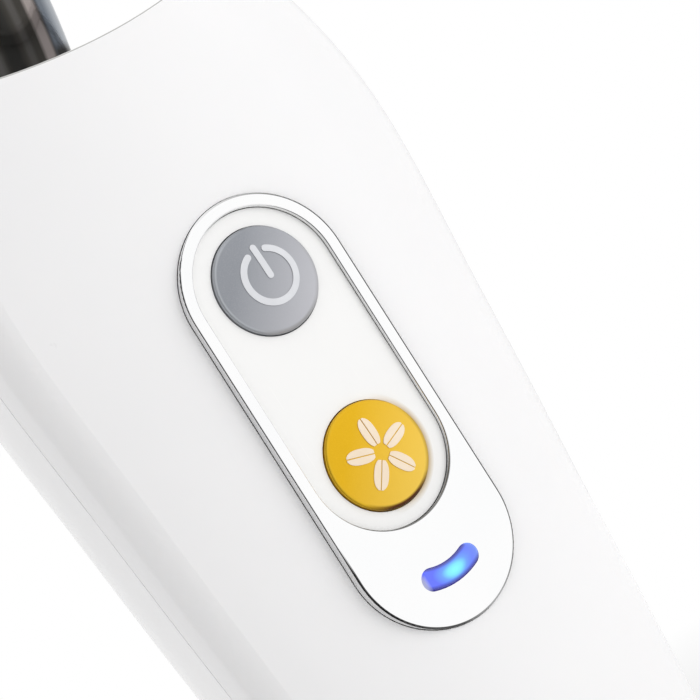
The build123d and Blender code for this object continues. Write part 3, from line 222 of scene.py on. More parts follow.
def make_handling_group():
    """Puts out a roughness that hairlines and a light film of dust raise from its base value."""
    inputs = {"Vector": VECTOR, "Roughness": 0.2, "Hairlines": 0.1, "Film": 0.05}
    group, inlet, outlet = start_group("handling_marks", inputs, {"Roughness": FLOAT})
    lines = []
    for turn in HAIRLINE_TURNS:
        stretch = add_node(group, "ShaderNodeMapping", Rotation=(0.3, turn, 0.2), Scale=HAIRLINE_STRETCH)
        noise = add_node(group, "ShaderNodeTexNoise", Scale=1.0, Detail=1.0)
        group.links.new(inlet["Vector"], stretch.inputs["Vector"])
        group.links.new(stretch.outputs["Vector"], noise.inputs["Vector"])
        lines.append(span_mask(group, noise.outputs["Fac"], *HAIRLINE_LEVELS))
    film = add_node(group, "ShaderNodeTexNoise", Scale=FILM_SCALE, Detail=4.0)
    group.links.new(inlet["Vector"], film.inputs["Vector"])
    rough = inlet["Roughness"]
    for mark, amount in ((math_node(group, "MAXIMUM", *lines), "Hairlines"), (film.outputs["Fac"], "Film")):
        rough = math_node(group, "ADD", rough, math_node(group, "MULTIPLY", mark, inlet[amount]))
    group.links.new(rough, outlet["Roughness"])
    return group


skin_group = make_skin_group()
handling_group = make_handling_group()
print("groups:", skin_group.name, handling_group.name)

# %% [markdown]
# Three more effects are shared. One lets a colour drift a little over the surface, which keeps a
# large white part from looking like paper. The other two place a mark where it belongs, such as
# along a rim. A painted texture could do that too, but these stay sharp at any size: the first
# tells how far a spot lies from an upright line in the wand's middle plane, and the second turns
# such a distance into a band with soft sides.

# %% Groups for drifting colour and for marks at a known place


def make_drift_group():
    """Puts out a colour that drifts towards another one in soft patches."""
    levels = {"Scale": 40.0, "Detail": 2.0, "Low": 0.3, "High": 0.7}
    inputs = {"Vector": VECTOR, "Color": COLOR, "Other": COLOR, **levels}
    group, inlet, outlet = start_group("color_drift", inputs, {"Color": COLOR})
    noise = group.nodes.new("ShaderNodeTexNoise")
    for name in ("Vector", "Scale", "Detail"):
        group.links.new(inlet[name], noise.inputs[name])
    patches = span_mask(group, noise.outputs["Fac"], inlet["Low"], inlet["High"])
    group.links.new(mix_colors(group, patches, inlet["Color"], inlet["Other"]), outlet["Color"])
    return group


def make_place_group():
    """Puts out X, Y and Z, and the distance from an upright line between two heights at X = 0."""
    outputs = {name: FLOAT for name in ("X", "Y", "Z", "Distance")}
    group, inlet, outlet = start_group("place_on_wand", {"Vector": VECTOR, "Low": 0.0, "High": 0.0}, outputs)
    split = group.nodes.new("ShaderNodeSeparateXYZ")
    group.links.new(inlet["Vector"], split.inputs[0])
    x, z = split.outputs["X"], split.outputs["Z"]
    held = math_node(group, "MAXIMUM", z, inlet["Low"])
    held = math_node(group, "MINIMUM", held, inlet["High"])
    for name in ("X", "Y", "Z"):
        group.links.new(split.outputs[name], outlet[name])
    distance = plane_distance(group, x, math_node(group, "SUBTRACT", z, held))
    group.links.new(distance, outlet["Distance"])
    return group


def make_band_group():
    """Puts out a mask that is 1 within a half width of the middle value and fades to 0 beside it."""
    inputs = {name: 0.0 for name in ("Value", "Middle", "Half Width", "Fade")}
    group, inlet, outlet = start_group("soft_band", inputs, {"Mask": FLOAT})
    off = math_node(group, "SUBTRACT", inlet["Value"], inlet["Middle"])
    off = math_node(group, "ABSOLUTE", off)
    outer = math_node(group, "ADD", inlet["Half Width"], inlet["Fade"])
    group.links.new(span_mask(group, off, outer, inlet["Half Width"]), outlet["Mask"])
    return group


drift_group = make_drift_group()
place_group = make_place_group()
band_group = make_band_group()
print("groups:", drift_group.name, place_group.name, band_group.name)

# %% [markdown]
# Each group has a helper that places it in a material with its own values, so that a finish is a
# few lines long. The last helper mixes another colour in under a mask.

# %% Placing the groups in a material
SKIN_DISTANCE = 0.04 * MM


def add_skin(tree, shader, swell, grain, strength, swell_scale=60.0, grain_scale=6000.0):
    """Bump from the swell and the grain."""
    scales = {"Swell Scale": swell_scale, "Grain Scale": grain_scale}
    skin = add_node(tree, "ShaderNodeGroup", node_tree=skin_group, Swell=swell, Grain=grain, **scales)
    tree.links.new(place_coordinates(tree), skin.inputs["Vector"])
    bump = add_node(tree, "ShaderNodeBump", Strength=strength, Distance=SKIN_DISTANCE)
    tree.links.new(skin.outputs["Height"], bump.inputs["Height"])
    tree.links.new(bump.outputs["Normal"], shader.inputs["Normal"])


def add_handling(tree, shader, hairlines=0.1, film=0.05):
    """Roughness from hairlines and film, on top of the shader's own value."""
    rough = shader.inputs["Roughness"]
    marks = add_node(tree, "ShaderNodeGroup", node_tree=handling_group, Roughness=rough.default_value,
                     Hairlines=hairlines, Film=film)
    tree.links.new(place_coordinates(tree), marks.inputs["Vector"])
    tree.links.new(marks.outputs["Roughness"], rough)


def add_color_drift(tree, shader, other, scale=40.0, detail=2.0, low=0.3, high=0.7):
    """The base colour drifts towards another one."""
    base = shader.inputs["Base Color"]
    drift = add_node(tree, "ShaderNodeGroup", node_tree=drift_group, Color=base.default_value,
                     Other=(*other, 1), Scale=scale, Detail=detail, Low=low, High=high)
    tree.links.new(place_coordinates(tree), drift.inputs["Vector"])
    tree.links.new(drift.outputs["Color"], base)


def find_place(tree, low=0.0, high=None):
    """X, Y, Z and Distance in millimetres, from the line between two heights or from one height."""
    high = low if high is None else high
    place = add_node(tree, "ShaderNodeGroup", node_tree=place_group, Low=low, High=high)
    tree.links.new(place_coordinates(tree, scale=1 / MM), place.inputs["Vector"])
    return place.outputs


def band(tree, value, middle, half_width, fade):
    """A band with soft sides where a value is near its middle."""
    widths = {"Half Width": half_width, "Fade": fade}
    group = add_node(tree, "ShaderNodeGroup", node_tree=band_group, Middle=middle, **widths)
    tree.links.new(value, group.inputs["Value"])
    return group.outputs["Mask"]


def tint(tree, target, mask, color):
    """Mixes a colour into a colour socket where the mask is 1."""
    before = target.links[0].from_socket if target.is_linked else target.default_value
    tree.links.new(mix_colors(tree, mask, before, (*color, 1)), target)


# %% [markdown]
# ## White plastic of the body
# The shells, the tail cap and the base of the head are glossy white ABS, polished in the mould.
# A coat over a slightly softer base gives the tight highlight that such plastic has. The colour
# is a neutral white that drifts very little. Along the scooped rim a thin grey line of painted
# shade stands for the shading of the rim's rounded edge; it is drawn from the distance to the
# scoop's axis.

# %% White plastic
SCOOP_RADIUS = 55.0
SCOOP_AXIS_Z = 209.0
# The painted shade line along the rim lies this far beyond the scoop, in millimetres.
RIM_SHADE_DEPTH = 0.08
white, white_tree, white_shader = new_material(
    "body_white", (0.915, 0.908, 0.912), 0.26, Coat_Weight=0.5, Coat_Roughness=0.05, Subsurface_Weight=0.05
)
white_shader.inputs["Subsurface Radius"].default_value = (1.0, 0.9, 0.8)
white_shader.inputs["Subsurface Scale"].default_value = 1.5 * MM
add_color_drift(white_tree, white_shader, (0.90, 0.895, 0.90))
add_skin(white_tree, white_shader, swell=0.6, swell_scale=45.0, grain=0.04, strength=0.25)
add_handling(white_tree, white_shader, hairlines=0.05, film=0.05)
# Painted shade: a thin grey line along the rounded edge of the scooped rim.
from_scoop = find_place(white_tree, SCOOP_AXIS_Z)["Distance"]
rim_painted_shade = band(white_tree, from_scoop, SCOOP_RADIUS + RIM_SHADE_DEPTH, half_width=0.04, fade=0.03)
tint(white_tree, white_shader.inputs["Base Color"], rim_painted_shade, (0.46, 0.46, 0.44))
give(white, "front_shell", "rear_shell", "tail_cap", "head_base")

# %% [markdown]
# The deck under the rim and the plate round the buttons are separate mouldings. The plate is a
# touch warmer than the shell and has a thinner coat. Close to the golden button, on the right and
# a little below, an amber shade is painted into its colour. Light thrown off the paint would give
# such a tint too, but far more faintly, so the painted shade is drawn from the distance to the
# button's middle.

# %% Deck and plate
MODE_Z = 104.49
# Where the painted amber shade beside the golden button lies, and its colour.
AMBER_SHADE_REACH = (6.35, 5.7)
AMBER_SHADE_LEAN = (0.5, 5.0)
AMBER_SHADE_BELOW_SHARE = 0.4
AMBER_SHADE_COLOR = (0.60, 0.46, 0.26)
deck, deck_tree, deck_shader = new_material("deck_white", (0.85, 0.855, 0.87), 0.38, Coat_Weight=0.15)
add_color_drift(deck_tree, deck_shader, (0.83, 0.836, 0.85))
add_skin(deck_tree, deck_shader, swell=0.3, grain=0.5, grain_scale=3500.0, strength=0.4)
add_handling(deck_tree, deck_shader)
give(deck, "top_deck")

plate, plate_tree, plate_shader = new_material("plate_white", (0.94, 0.938, 0.93), 0.22, Coat_Weight=0.3)
add_color_drift(plate_tree, plate_shader, (0.93, 0.926, 0.915), scale=90.0)
plate_place = find_place(plate_tree, MODE_Z)
below = math_node(plate_tree, "SUBTRACT", MODE_Z, plate_place["Z"])
below = math_node(plate_tree, "MULTIPLY", below, AMBER_SHADE_BELOW_SHARE)
plate_lean = math_node(plate_tree, "ADD", plate_place["X"], below)
# Painted shade: an amber tint beside the golden button, on the right and a little below.
painted_amber_shade = math_node(plate_tree, "MULTIPLY", span_mask(plate_tree, plate_place["Distance"], *AMBER_SHADE_REACH),
                  span_mask(plate_tree, plate_lean, *AMBER_SHADE_LEAN))
tint(plate_tree, plate_shader.inputs["Base Color"], painted_amber_shade, AMBER_SHADE_COLOR)
add_skin(plate_tree, plate_shader, swell=0.4, swell_scale=90.0, grain=0.06, strength=0.25)
add_handling(plate_tree, plate_shader, hairlines=0.06, film=0.04)
give(plate, "control_plate")

# %% [markdown]
# ## Chrome
# The surround of the panel, the neck tube and the rings are plated. Plating is a mirror, so what
# makes it look real is what it reflects, the slight waves of the polished base under it, and
# hairlines that catch the light.

# %% Chrome
chrome, chrome_tree, chrome_shader = new_material("chrome", (0.985, 0.985, 0.985), 0.04, Metallic=1.0)
add_color_drift(chrome_tree, chrome_shader, (0.965, 0.97, 0.975), scale=120.0)
add_skin(chrome_tree, chrome_shader, swell=0.5, swell_scale=120.0, grain=0.02, strength=0.12)
add_handling(chrome_tree, chrome_shader, hairlines=0.12, film=0.03)
give(chrome, "neck_ferrule", "head_ring")

# %% [markdown]
# The surround of the panel wears the same plating, so its material starts as a copy. Fine dark
# grey lines are painted into its colour along its outer edge and round the low end of its
# opening: painted shade and dark reflections at its turned-over edges. Each line grows along the
# surround, over a span of X or Z.

# %% Edges of the surround
SURROUND_HIGH_Z = 124.61
SURROUND_LOW_Z = 94.94
SURROUND_RADIUS = 9.27
OPENING_LOW_Z = 104.81
OPENING_RADIUS = 7.9
TURNED_INSET = 0.08
TURNED_DEPTHS = (0.20, 0.15)
TURNED_SPAN_Z = (99.0, 96.0)
TURNED_SPAN_X = (3.0, -2.0)
OUTER_INSET = 0.09
OUTER_SPAN_X = (-4.0, 8.0)
INNER_INSET = 0.06
INNER_SPAN_Z = (104.0, 99.0)
# Colours of the painted shade lines on the surround's edges.
OUTER_SHADE_COLOR = (0.10, 0.10, 0.10)
INNER_SHADE_COLOR = (0.25, 0.25, 0.25)
surround = chrome.copy()
surround.name = "chrome_surround"
surround_tree = surround.node_tree
surround_shader = surround_tree.nodes["Principled BSDF"]
surround_place = find_place(surround_tree, SURROUND_LOW_Z, SURROUND_HIGH_Z)
opening_place = find_place(surround_tree, OPENING_LOW_Z, SURROUND_HIGH_Z)
surround_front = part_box("control_bezel")[0].y / MM


def narrowed(mask, axis, span):
    """The mask where a place has passed its span, and less of it before."""
    share = span_mask(surround_tree, surround_place[axis], *span)
    return math_node(surround_tree, "MULTIPLY", mask, share)


def paint_surround_shade(edge_shade, axis, span, color):
    """Paints a dark line of shade on an edge of the surround, more and more over a span of places."""
    tint(surround_tree, surround_shader.inputs["Base Color"], narrowed(edge_shade, axis, span), color)


# Painted shade and dark reflections: fine dark lines along the turned-over edges of the surround.
outside = surround_place["Distance"]
turned_edge_shade = band(surround_tree, outside, SURROUND_RADIUS - TURNED_INSET, half_width=0.11, fade=0.03)
turned_edge_shade = narrowed(turned_edge_shade, "Y", [surround_front + depth for depth in TURNED_DEPTHS])
turned_edge_shade = narrowed(turned_edge_shade, "Z", TURNED_SPAN_Z)
paint_surround_shade(turned_edge_shade, "X", TURNED_SPAN_X, OUTER_SHADE_COLOR)
outer_edge_shade = band(surround_tree, outside, SURROUND_RADIUS - OUTER_INSET, half_width=0.10, fade=0.04)
paint_surround_shade(outer_edge_shade, "X", OUTER_SPAN_X, OUTER_SHADE_COLOR)
inside = opening_place["Distance"]
inner_edge_shade = band(surround_tree, inside, OPENING_RADIUS + INNER_INSET, half_width=0.06, fade=0.05)
paint_surround_shade(inner_edge_shade, "Z", INNER_SPAN_Z, INNER_SHADE_COLOR)
give(surround, "control_bezel")
print("front of the surround at Y in mm:", round(surround_front, 2))

# %% [markdown]
# The neck tube is plated darker, in a smoked chrome that stays nearly black where it faces the
# eye and turns light along its edges. A metal's base colour is what it reflects head on, so a
# dark base colour gives this. Reflections are painted into its colour: a warm grey streak and a
# bluish band up its right side, and fainter streaks up the rest. The tube bends only forward and
# back, so a streak drawn from the sideways place alone follows every bend. The foot of the tube
# has painted shade on the right, where the rim stands close to it.

# %% Smoked chrome
# Where the painted shade at the tube's foot lies, and its colour.
FOOT_HEIGHTS = (158.6, 157.6)
FOOT_SIDE = (2.0, 2.6)
FOOT_SHADE_COLOR = (0.05, 0.048, 0.045)
# Each painted reflection streak is its middle, half width and fade in millimetres of X, then its colour.
TUBE_PAINTED_REFLECTIONS = (
    (-4.2, 0.4, 0.6, (0.12, 0.115, 0.11)),
    (-2.4, 0.5, 0.6, (0.035, 0.034, 0.032)),
    (-0.7, 0.2, 0.4, (0.095, 0.09, 0.085)),
    (1.42, 0.40, 0.50, (0.34, 0.30, 0.285)),
    (3.4, 0.8, 0.5, (0.19, 0.215, 0.25)),
    (5.1, 1.0, 1.1, (0.40, 0.43, 0.47)),
    (6.0, 0.15, 0.25, (0.07, 0.066, 0.06)),
)
smoked, smoked_tree, smoked_shader = new_material("smoked_chrome", (0.062, 0.058, 0.051), 0.07, Metallic=1.0)
add_color_drift(smoked_tree, smoked_shader, (0.052, 0.049, 0.044), scale=120.0)
add_skin(smoked_tree, smoked_shader, swell=0.5, swell_scale=120.0, grain=0.02, strength=0.12)
add_handling(smoked_tree, smoked_shader, hairlines=0.12, film=0.04)
smoked_color = smoked_shader.inputs["Base Color"]
smoked_place = find_place(smoked_tree)
# Painted reflections: streaks of light and dark run up the tube.
for middle, half_width, soft, color in TUBE_PAINTED_REFLECTIONS:
    painted_streak = band(smoked_tree, smoked_place["X"], middle, half_width, soft)
    tint(smoked_tree, smoked_color, painted_streak, color)
# Painted shade at the foot of the tube, on the right beside the rim.
foot_painted_shade = math_node(smoked_tree, "MULTIPLY", span_mask(smoked_tree, smoked_place["Z"], *FOOT_HEIGHTS),
                       span_mask(smoked_tree, smoked_place["X"], *FOOT_SIDE))
tint(smoked_tree, smoked_color, foot_painted_shade, FOOT_SHADE_COLOR)
give(smoked, "neck_tube")
print("streaks on the tube:", len(TUBE_PAINTED_REFLECTIONS))

# %% [markdown]
# ## Buttons
# The power button is painted in a satin silver grey and the mode button in a golden yellow.
# Both paints carry very fine metal flakes, so they are partly metallic, with a fine speckle in
# their colour and a clear coat over it. Each also gets painted light and shade: a painted
# highlight that turns it paler towards its lower right, a wall and the left of its rim painted
# lighter against their shade, and painted shade along its low edge that fades up its right side.
# One function paints both, because only their colours and their gloss differ.

# %% Button paints
# A span is two places in millimetres, between which a mask rises from 0 to 1. A spot leans as far
# as it lies to the lower right, rises as far as it lies above the button's middle, and is as deep
# as it lies behind the crown.
LEAN_SHARE = 0.65
# The painted highlight grows over this span of lean.
HIGHLIGHT_LEANS = (-3.0, 5.5)
RIM_REACH = 5.50
RIM_SIDE = (0.5, -2.5)
WALL_DEPTHS = (0.50, 0.65)
SHADE_DEPTHS = (0.80, 0.60)
SHADE_RISES = (-3.4, -5.2)
FAINT_SHADE_LEANS = (1.0, 3.0)
FAINT_SHADE_SHARE = 0.3


def flake_paint(name, button, color, flake, painted_highlight, lit_wall, edge_shade, metallic, coat):
    """Satin paint with fine flakes, a painted highlight to the lower right, a painted lighter wall and left
    rim, and painted shade on its low edge.
    """
    material, tree, shader = new_material(
        name, color, 0.38, Metallic=metallic, Coat_Weight=coat, Coat_Roughness=0.12
    )
    add_color_drift(tree, shader, flake, scale=9000.0, detail=2.0, low=0.45, high=0.75)
    add_skin(tree, shader, swell=0.3, swell_scale=200.0, grain=0.25, grain_scale=9000.0, strength=0.3)
    add_handling(tree, shader, hairlines=0.06, film=0.05)
    low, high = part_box(button)
    middle_z = (low.z + high.z) / (2 * MM)
    place = find_place(tree, middle_z)
    rise = math_node(tree, "SUBTRACT", place["Z"], middle_z)
    lean = math_node(tree, "MULTIPLY", math_node(tree, "SUBTRACT", place["X"], rise), LEAN_SHARE)
    depth = math_node(tree, "SUBTRACT", place["Y"], low.y / MM)
    base = shader.inputs["Base Color"]
    # Painted highlight: the paint turns paler towards the lower right.
    tint(tree, base, span_mask(tree, lean, *HIGHLIGHT_LEANS), painted_highlight)
    # Painted light: the left of the rim and the wall are lightened to the wall colour, against their shade.
    lit_rim = band(tree, place["Distance"], RIM_REACH, half_width=0.12, fade=0.16)
    tint(tree, base, math_node(tree, "MULTIPLY", lit_rim, span_mask(tree, place["X"], *RIM_SIDE)), lit_wall)
    tint(tree, base, span_mask(tree, depth, *WALL_DEPTHS), lit_wall)
    # Painted shade: a dark low edge that fades up the right side.
    shade = band(tree, place["Distance"], RIM_REACH, half_width=0.16, fade=0.22)
    faint_shade = math_node(tree, "MULTIPLY", span_mask(tree, lean, *FAINT_SHADE_LEANS), FAINT_SHADE_SHARE)
    strong_shade = math_node(tree, "MULTIPLY", span_mask(tree, rise, *SHADE_RISES),
                       span_mask(tree, depth, *SHADE_DEPTHS))
    tint(tree, base, math_node(tree, "MULTIPLY", shade, math_node(tree, "MAXIMUM", faint_shade, strong_shade)), edge_shade)
    print(name, "middle at Z in mm:", round(middle_z, 2))
    return material


# Each button's own colour and flakes, then its painted highlight, lightened wall and painted edge shade.
silver = flake_paint(
    "button_silver", "power_button", color=(0.290, 0.305, 0.335), flake=(0.325, 0.335, 0.365),
    painted_highlight=(0.55, 0.55, 0.585), lit_wall=(0.44, 0.46, 0.49), edge_shade=(0.36, 0.36, 0.37), metallic=0.50, coat=0.15
)
gold = flake_paint(
    "button_gold", "mode_button", color=(0.82, 0.475, 0.008), flake=(0.85, 0.51, 0.014),
    painted_highlight=(0.95, 0.64, 0.10), lit_wall=(0.82, 0.50, 0.02), edge_shade=(0.10, 0.03, 0.004), metallic=0.75, coat=0.07
)
give(silver, "power_button")
give(gold, "mode_button")

# %% [markdown]
# ## Light window
# The bean-shaped window is a clear light guide over a small lamp. It glows cyan in the middle
# and blue towards its ends, its outer edge is navy and its inner edge a greyish violet. A lamp
# under glass could make this glow, but only with much noise, so the window itself emits it. A
# spot on the bean is found from the centre of its bend: the distance tells how far across the
# bean it lies, and the sideways place how far along.

# %% Light window
BEND_Z = 98.07
BEND_RADIUS = 7.2
CORE_SHIFT = 0.20
CORE_HALF_LENGTH = 2.6
CORE_HALF_WIDTH = 1.3
GLOW_STOPS = (
    (0.12, (0.22, 0.92, 0.93)),
    (0.35, (0.19, 0.78, 0.94)),
    (0.62, (0.13, 0.33, 0.93)),
    (1.00, (0.10, 0.14, 0.88)),
)
# The right end, the outer edge, the inner edge and the left end, whose pale grey is a painted
# highlight. Each is the way in which its shade grows, the span in millimetres over which it does,
# and its colour.
WINDOW_SHADES = (
    ("sideways", (1.8, 3.5), (0.15, 0.26, 0.72)),
    ("outward", (0.62, 1.05), (0.015, 0.008, 0.14)),
    ("outward", (-0.75, -1.05), (0.045, 0.04, 0.20)),
    ("sideways", (-2.95, -3.4), (0.40, 0.41, 0.56)),
)

window, window_tree, window_shader = new_material(
    "lens_clear", (0.02, 0.03, 0.16), 0.10, Coat_Weight=0.2, Coat_Roughness=0.03, Emission_Strength=1.0
)
window_place = find_place(window_tree, BEND_Z)
outward = math_node(window_tree, "SUBTRACT", window_place["Distance"], BEND_RADIUS)
ways = {"sideways": window_place["X"], "outward": outward}
off_core = math_node(window_tree, "SUBTRACT", ways["sideways"], CORE_SHIFT)
core = plane_distance(window_tree, math_node(window_tree, "DIVIDE", off_core, CORE_HALF_LENGTH),
                      math_node(window_tree, "DIVIDE", outward, CORE_HALF_WIDTH))
glow = window_tree.nodes.new("ShaderNodeValToRGB")
stops = glow.color_ramp.elements
stops[1].position = GLOW_STOPS[-1][0]
stops[0].position = GLOW_STOPS[0][0]
for position, _ in GLOW_STOPS[1:-1]:
    stops.new(position)
for stop, (_, color) in zip(stops, GLOW_STOPS):
    stop.color = (*color, 1)
window_tree.links.new(core, glow.inputs["Fac"])
glow_color = window_shader.inputs["Emission Color"]
window_tree.links.new(glow.outputs["Color"], glow_color)
# The left end's pale grey tint is a painted highlight in the glow.
for way, span, color in WINDOW_SHADES:
    tint(window_tree, glow_color, span_mask(window_tree, ways[way], *span), color)
add_skin(window_tree, window_shader, swell=0.4, swell_scale=300.0, grain=0.02, strength=0.15)
give(window, "light_lens")
print("stops of the glow:", [round(stop.position, 2) for stop in stops])

# %% [markdown]
# ## Rubber
# The grommet round the neck and the sleeve round the motor are dark rubber with a fine dry
# bloom, which lifts the colour in soft patches and keeps the gloss low. A sheen would whiten the
# rubber evenly, so the bloom is a drifting colour instead.

# %% Rubber
rubber, rubber_tree, rubber_shader = new_material("rubber_dark", (0.02, 0.02, 0.022), 0.62)
add_color_drift(rubber_tree, rubber_shader, (0.05, 0.05, 0.052), scale=300.0, detail=5.0)
add_skin(rubber_tree, rubber_shader, swell=0.3, grain=1.0, grain_scale=4000.0, strength=0.6)
add_handling(rubber_tree, rubber_shader, hairlines=0.1, film=0.15)
give(rubber, "neck_grommet", "motor_sleeve")

# %% [markdown]
# ## Metals, plastics and wires inside
# Nothing of these shows while the wand is closed, but they show when it is taken apart or cut
# open. One function makes each of them from a colour, a second colour and a few numbers, since
# they differ in little else.

# %% Inner finishes


def plain_finish(name, color, drift, roughness, metallic):
    """A finish for an inner part: drifting colour, fine grain and handling marks."""
    material, tree, shader = new_material(name, color, roughness, Metallic=metallic)
    add_color_drift(tree, shader, drift, scale=300.0)
    add_skin(tree, shader, swell=0.3, grain=0.4, grain_scale=5000.0, strength=0.4)
    add_handling(tree, shader, hairlines=0.1, film=0.08)
    return material


# Each finish is its colour, the colour that it drifts to, its roughness and how metallic it is.
INNER_FINISHES = {
    "steel": ((0.55, 0.55, 0.56), (0.48, 0.48, 0.50), 0.30, 1.0),
    "nickel": ((0.66, 0.63, 0.56), (0.58, 0.55, 0.48), 0.25, 1.0),
    "bronze": ((0.60, 0.40, 0.20), (0.45, 0.28, 0.13), 0.38, 1.0),
    "magnet": ((0.06, 0.06, 0.065), (0.10, 0.10, 0.10), 0.55, 0.3),
    "core_plastic": ((0.62, 0.62, 0.60), (0.56, 0.56, 0.54), 0.50, 0.0),
    "black_plastic": ((0.02, 0.02, 0.02), (0.035, 0.035, 0.035), 0.40, 0.0),
    "board_green": ((0.015, 0.14, 0.06), (0.02, 0.20, 0.09), 0.35, 0.0),
    "connector_cream": ((0.72, 0.68, 0.55), (0.66, 0.62, 0.50), 0.45, 0.0),
    "cell_wrap": ((0.03, 0.12, 0.32), (0.04, 0.15, 0.38), 0.28, 0.0),
    "wire_red": ((0.45, 0.02, 0.02), (0.55, 0.04, 0.03), 0.45, 0.0),
    "lamp_blue": ((0.15, 0.45, 0.95), (0.30, 0.65, 1.00), 0.20, 0.0),
}
inner = {name: plain_finish(name, *values) for name, values in INNER_FINISHES.items()}
give(inner["steel"], "shell_screws", "clamp_screws", "board_screws", "head_screws", "neck_nut", "motor_can",
     "motor_armature", "motor_shaft")
give(inner["nickel"], "charge_pin", "cell_tabs", "motor_terminals")
give(inner["bronze"], "motor_bushes", "eccentric_weight")
give(inner["magnet"], "motor_magnets")
give(inner["core_plastic"], "neck_clamp", "battery_cradle", "head_core", "motor_end_bell")
give(inner["black_plastic"], "charge_socket", "power_plunger", "mode_plunger", "power_switch", "mode_switch")
give(inner["board_green"], "control_board")
give(inner["connector_cream"], "lead_connector", "charge_connector")
give(inner["cell_wrap"], "battery_cell")
give(inner["wire_red"], "socket_leads", "cell_leads", "motor_leads")
give(inner["lamp_blue"], "status_light")
print("inner finishes:", len(inner))

# %% [markdown]
# ## Signs on the buttons
# The power button carries the usual power symbol, a broken ring with a bar, and the mode button
# a flower of five slit petals. On the real wand they are printed, a few hundredths of a
# millimetre thick, on domed tops. A texture could show them, but thin inlays keep crisp edges at
# any size. Each inlay is drawn flat round the origin, cut fine enough to bend, and then laid on
# the dome.

# %% Helpers for the signs
INLAY_LIFT = 0.03 * MM
INLAY_THICKNESS = 0.05 * MM
BUTTON_RADIUS = 5.6 * MM
BUTTON_DOME = 0.45 * MM
MERGE_REACH = 0.001 * MM


def sign_paint(name, color, drift, roughness):
    """A dry printing paint with a fine grain."""
    material, tree, shader = new_material(name, color, roughness)
    add_color_drift(tree, shader, drift, scale=600.0)
    add_skin(tree, shader, swell=0.2, grain=0.4, grain_scale=8000.0, strength=0.3)
    return material


def finish_piece(name, mesh_data, material, body, smooth):
    """Makes an object of a bmesh, and says what it rides on and which slot it takes."""
    mesh = bpy.data.meshes.new(name)
    mesh_data.to_mesh(mesh)
    mesh_data.free()
    piece = bpy.data.objects.new(name, mesh)
    bpy.context.scene.collection.objects.link(piece)
    mesh.materials.append(material)
    for face in mesh.polygons:
        face.use_smooth = smooth
    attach(piece, body)
    print(name, len(mesh.polygons), "faces")
    return piece


def dome_rise(radius):
    """How far the button's top stands above its edge, at a distance from its middle."""
    sphere = (BUTTON_RADIUS**2 + BUTTON_DOME**2) / (2 * BUTTON_DOME)
    return BUTTON_DOME - sphere + sqrt(sphere**2 - radius**2)


def lay_on_button(sketch, button, shift):
    """Turns a flat sketch in X and Y to face the front and lays it on the button's dome."""
    low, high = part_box(button)
    middle = (low + high) / 2
    top = low.y
    crown = dome_rise(0)
    for vert in sketch.verts:
        x, z, lift = vert.co.x + shift[0], vert.co.y + shift[1], vert.co.z
        fall = crown - dome_rise(sqrt(x * x + z * z))
        vert.co = Vector((middle.x + x, top + fall - INLAY_LIFT - lift, middle.z + z))


def thicken(sketch):
    """Gives a flat sketch its thickness, with closed sides."""
    grown = bmesh.ops.extrude_face_region(sketch, geom=list(sketch.faces))
    lifted = [item for item in grown["geom"] if isinstance(item, bmesh.types.BMVert)]
    bmesh.ops.translate(sketch, verts=lifted, vec=(0, 0, INLAY_THICKNESS))


# %% [markdown]
# The ring of the power symbol is a short line spun through most of a turn, and the bar is a grid
# pulled to size. Their ends are rounded with half discs, as the printed ones are.

# %% Power symbol
RING_RADIUS = 2.79 * MM
STROKE = 0.70 * MM
RING_GAP = radians(23)
RING_STEPS = 72
BAR_TOP = 3.15 * MM
SYMBOL_SHIFT = (0.42 * MM, 0.19 * MM)
END_STEPS = 10


def half_disc(sketch, centre, facing):
    """A spoke, spun through half a turn to round the end of a stroke."""
    hub = Vector((*centre, 0))
    spoke = Vector((cos(facing - pi / 2), sin(facing - pi / 2), 0)) * STROKE / 2
    ends = [sketch.verts.new(place) for place in (hub, hub + spoke)]
    bmesh.ops.spin(sketch, geom=ends + [sketch.edges.new(ends)], cent=hub, axis=(0, 0, 1), angle=pi,
                   steps=END_STEPS, use_merge=False, use_duplicate=False)


def power_symbol():
    """The broken ring with its bar, laid on the power button."""
    sketch = bmesh.new()
    start = pi / 2 + RING_GAP
    sweep = 2 * pi - 2 * RING_GAP
    across = (RING_RADIUS - STROKE / 2, RING_RADIUS, RING_RADIUS + STROKE / 2)
    ends = [sketch.verts.new((r * cos(start), r * sin(start), 0)) for r in across]
    stroke = [sketch.edges.new(pair) for pair in zip(ends, ends[1:])]
    bmesh.ops.spin(sketch, geom=ends + stroke, cent=(0, 0, 0), axis=(0, 0, 1), angle=sweep, steps=RING_STEPS,
                   use_merge=False, use_duplicate=False)
    for angle, facing in ((start, start - pi / 2), (start + sweep, start + sweep + pi / 2)):
        half_disc(sketch, (RING_RADIUS * cos(angle), RING_RADIUS * sin(angle)), facing)
    bar = bmesh.ops.create_grid(sketch, x_segments=2, y_segments=10, size=0.5)["verts"]
    bmesh.ops.scale(sketch, verts=bar, vec=(STROKE, BAR_TOP, 1))
    bmesh.ops.translate(sketch, verts=bar, vec=(0, BAR_TOP / 2, 0))
    half_disc(sketch, (0, 0), -pi / 2)
    half_disc(sketch, (0, BAR_TOP), pi / 2)
    bmesh.ops.remove_doubles(sketch, verts=sketch.verts, dist=MERGE_REACH)
    bmesh.ops.recalc_face_normals(sketch, faces=sketch.faces)
    thicken(sketch)
    lay_on_button(sketch, "power_button", SYMBOL_SHIFT)
    bmesh.ops.recalc_face_normals(sketch, faces=sketch.faces)
    return sketch


sign_white = sign_paint("sign_white", (0.75, 0.76, 0.79), drift=(0.71, 0.72, 0.75), roughness=0.40)
finish_piece("power_symbol", power_symbol(), sign_white, "power_press", smooth=False)

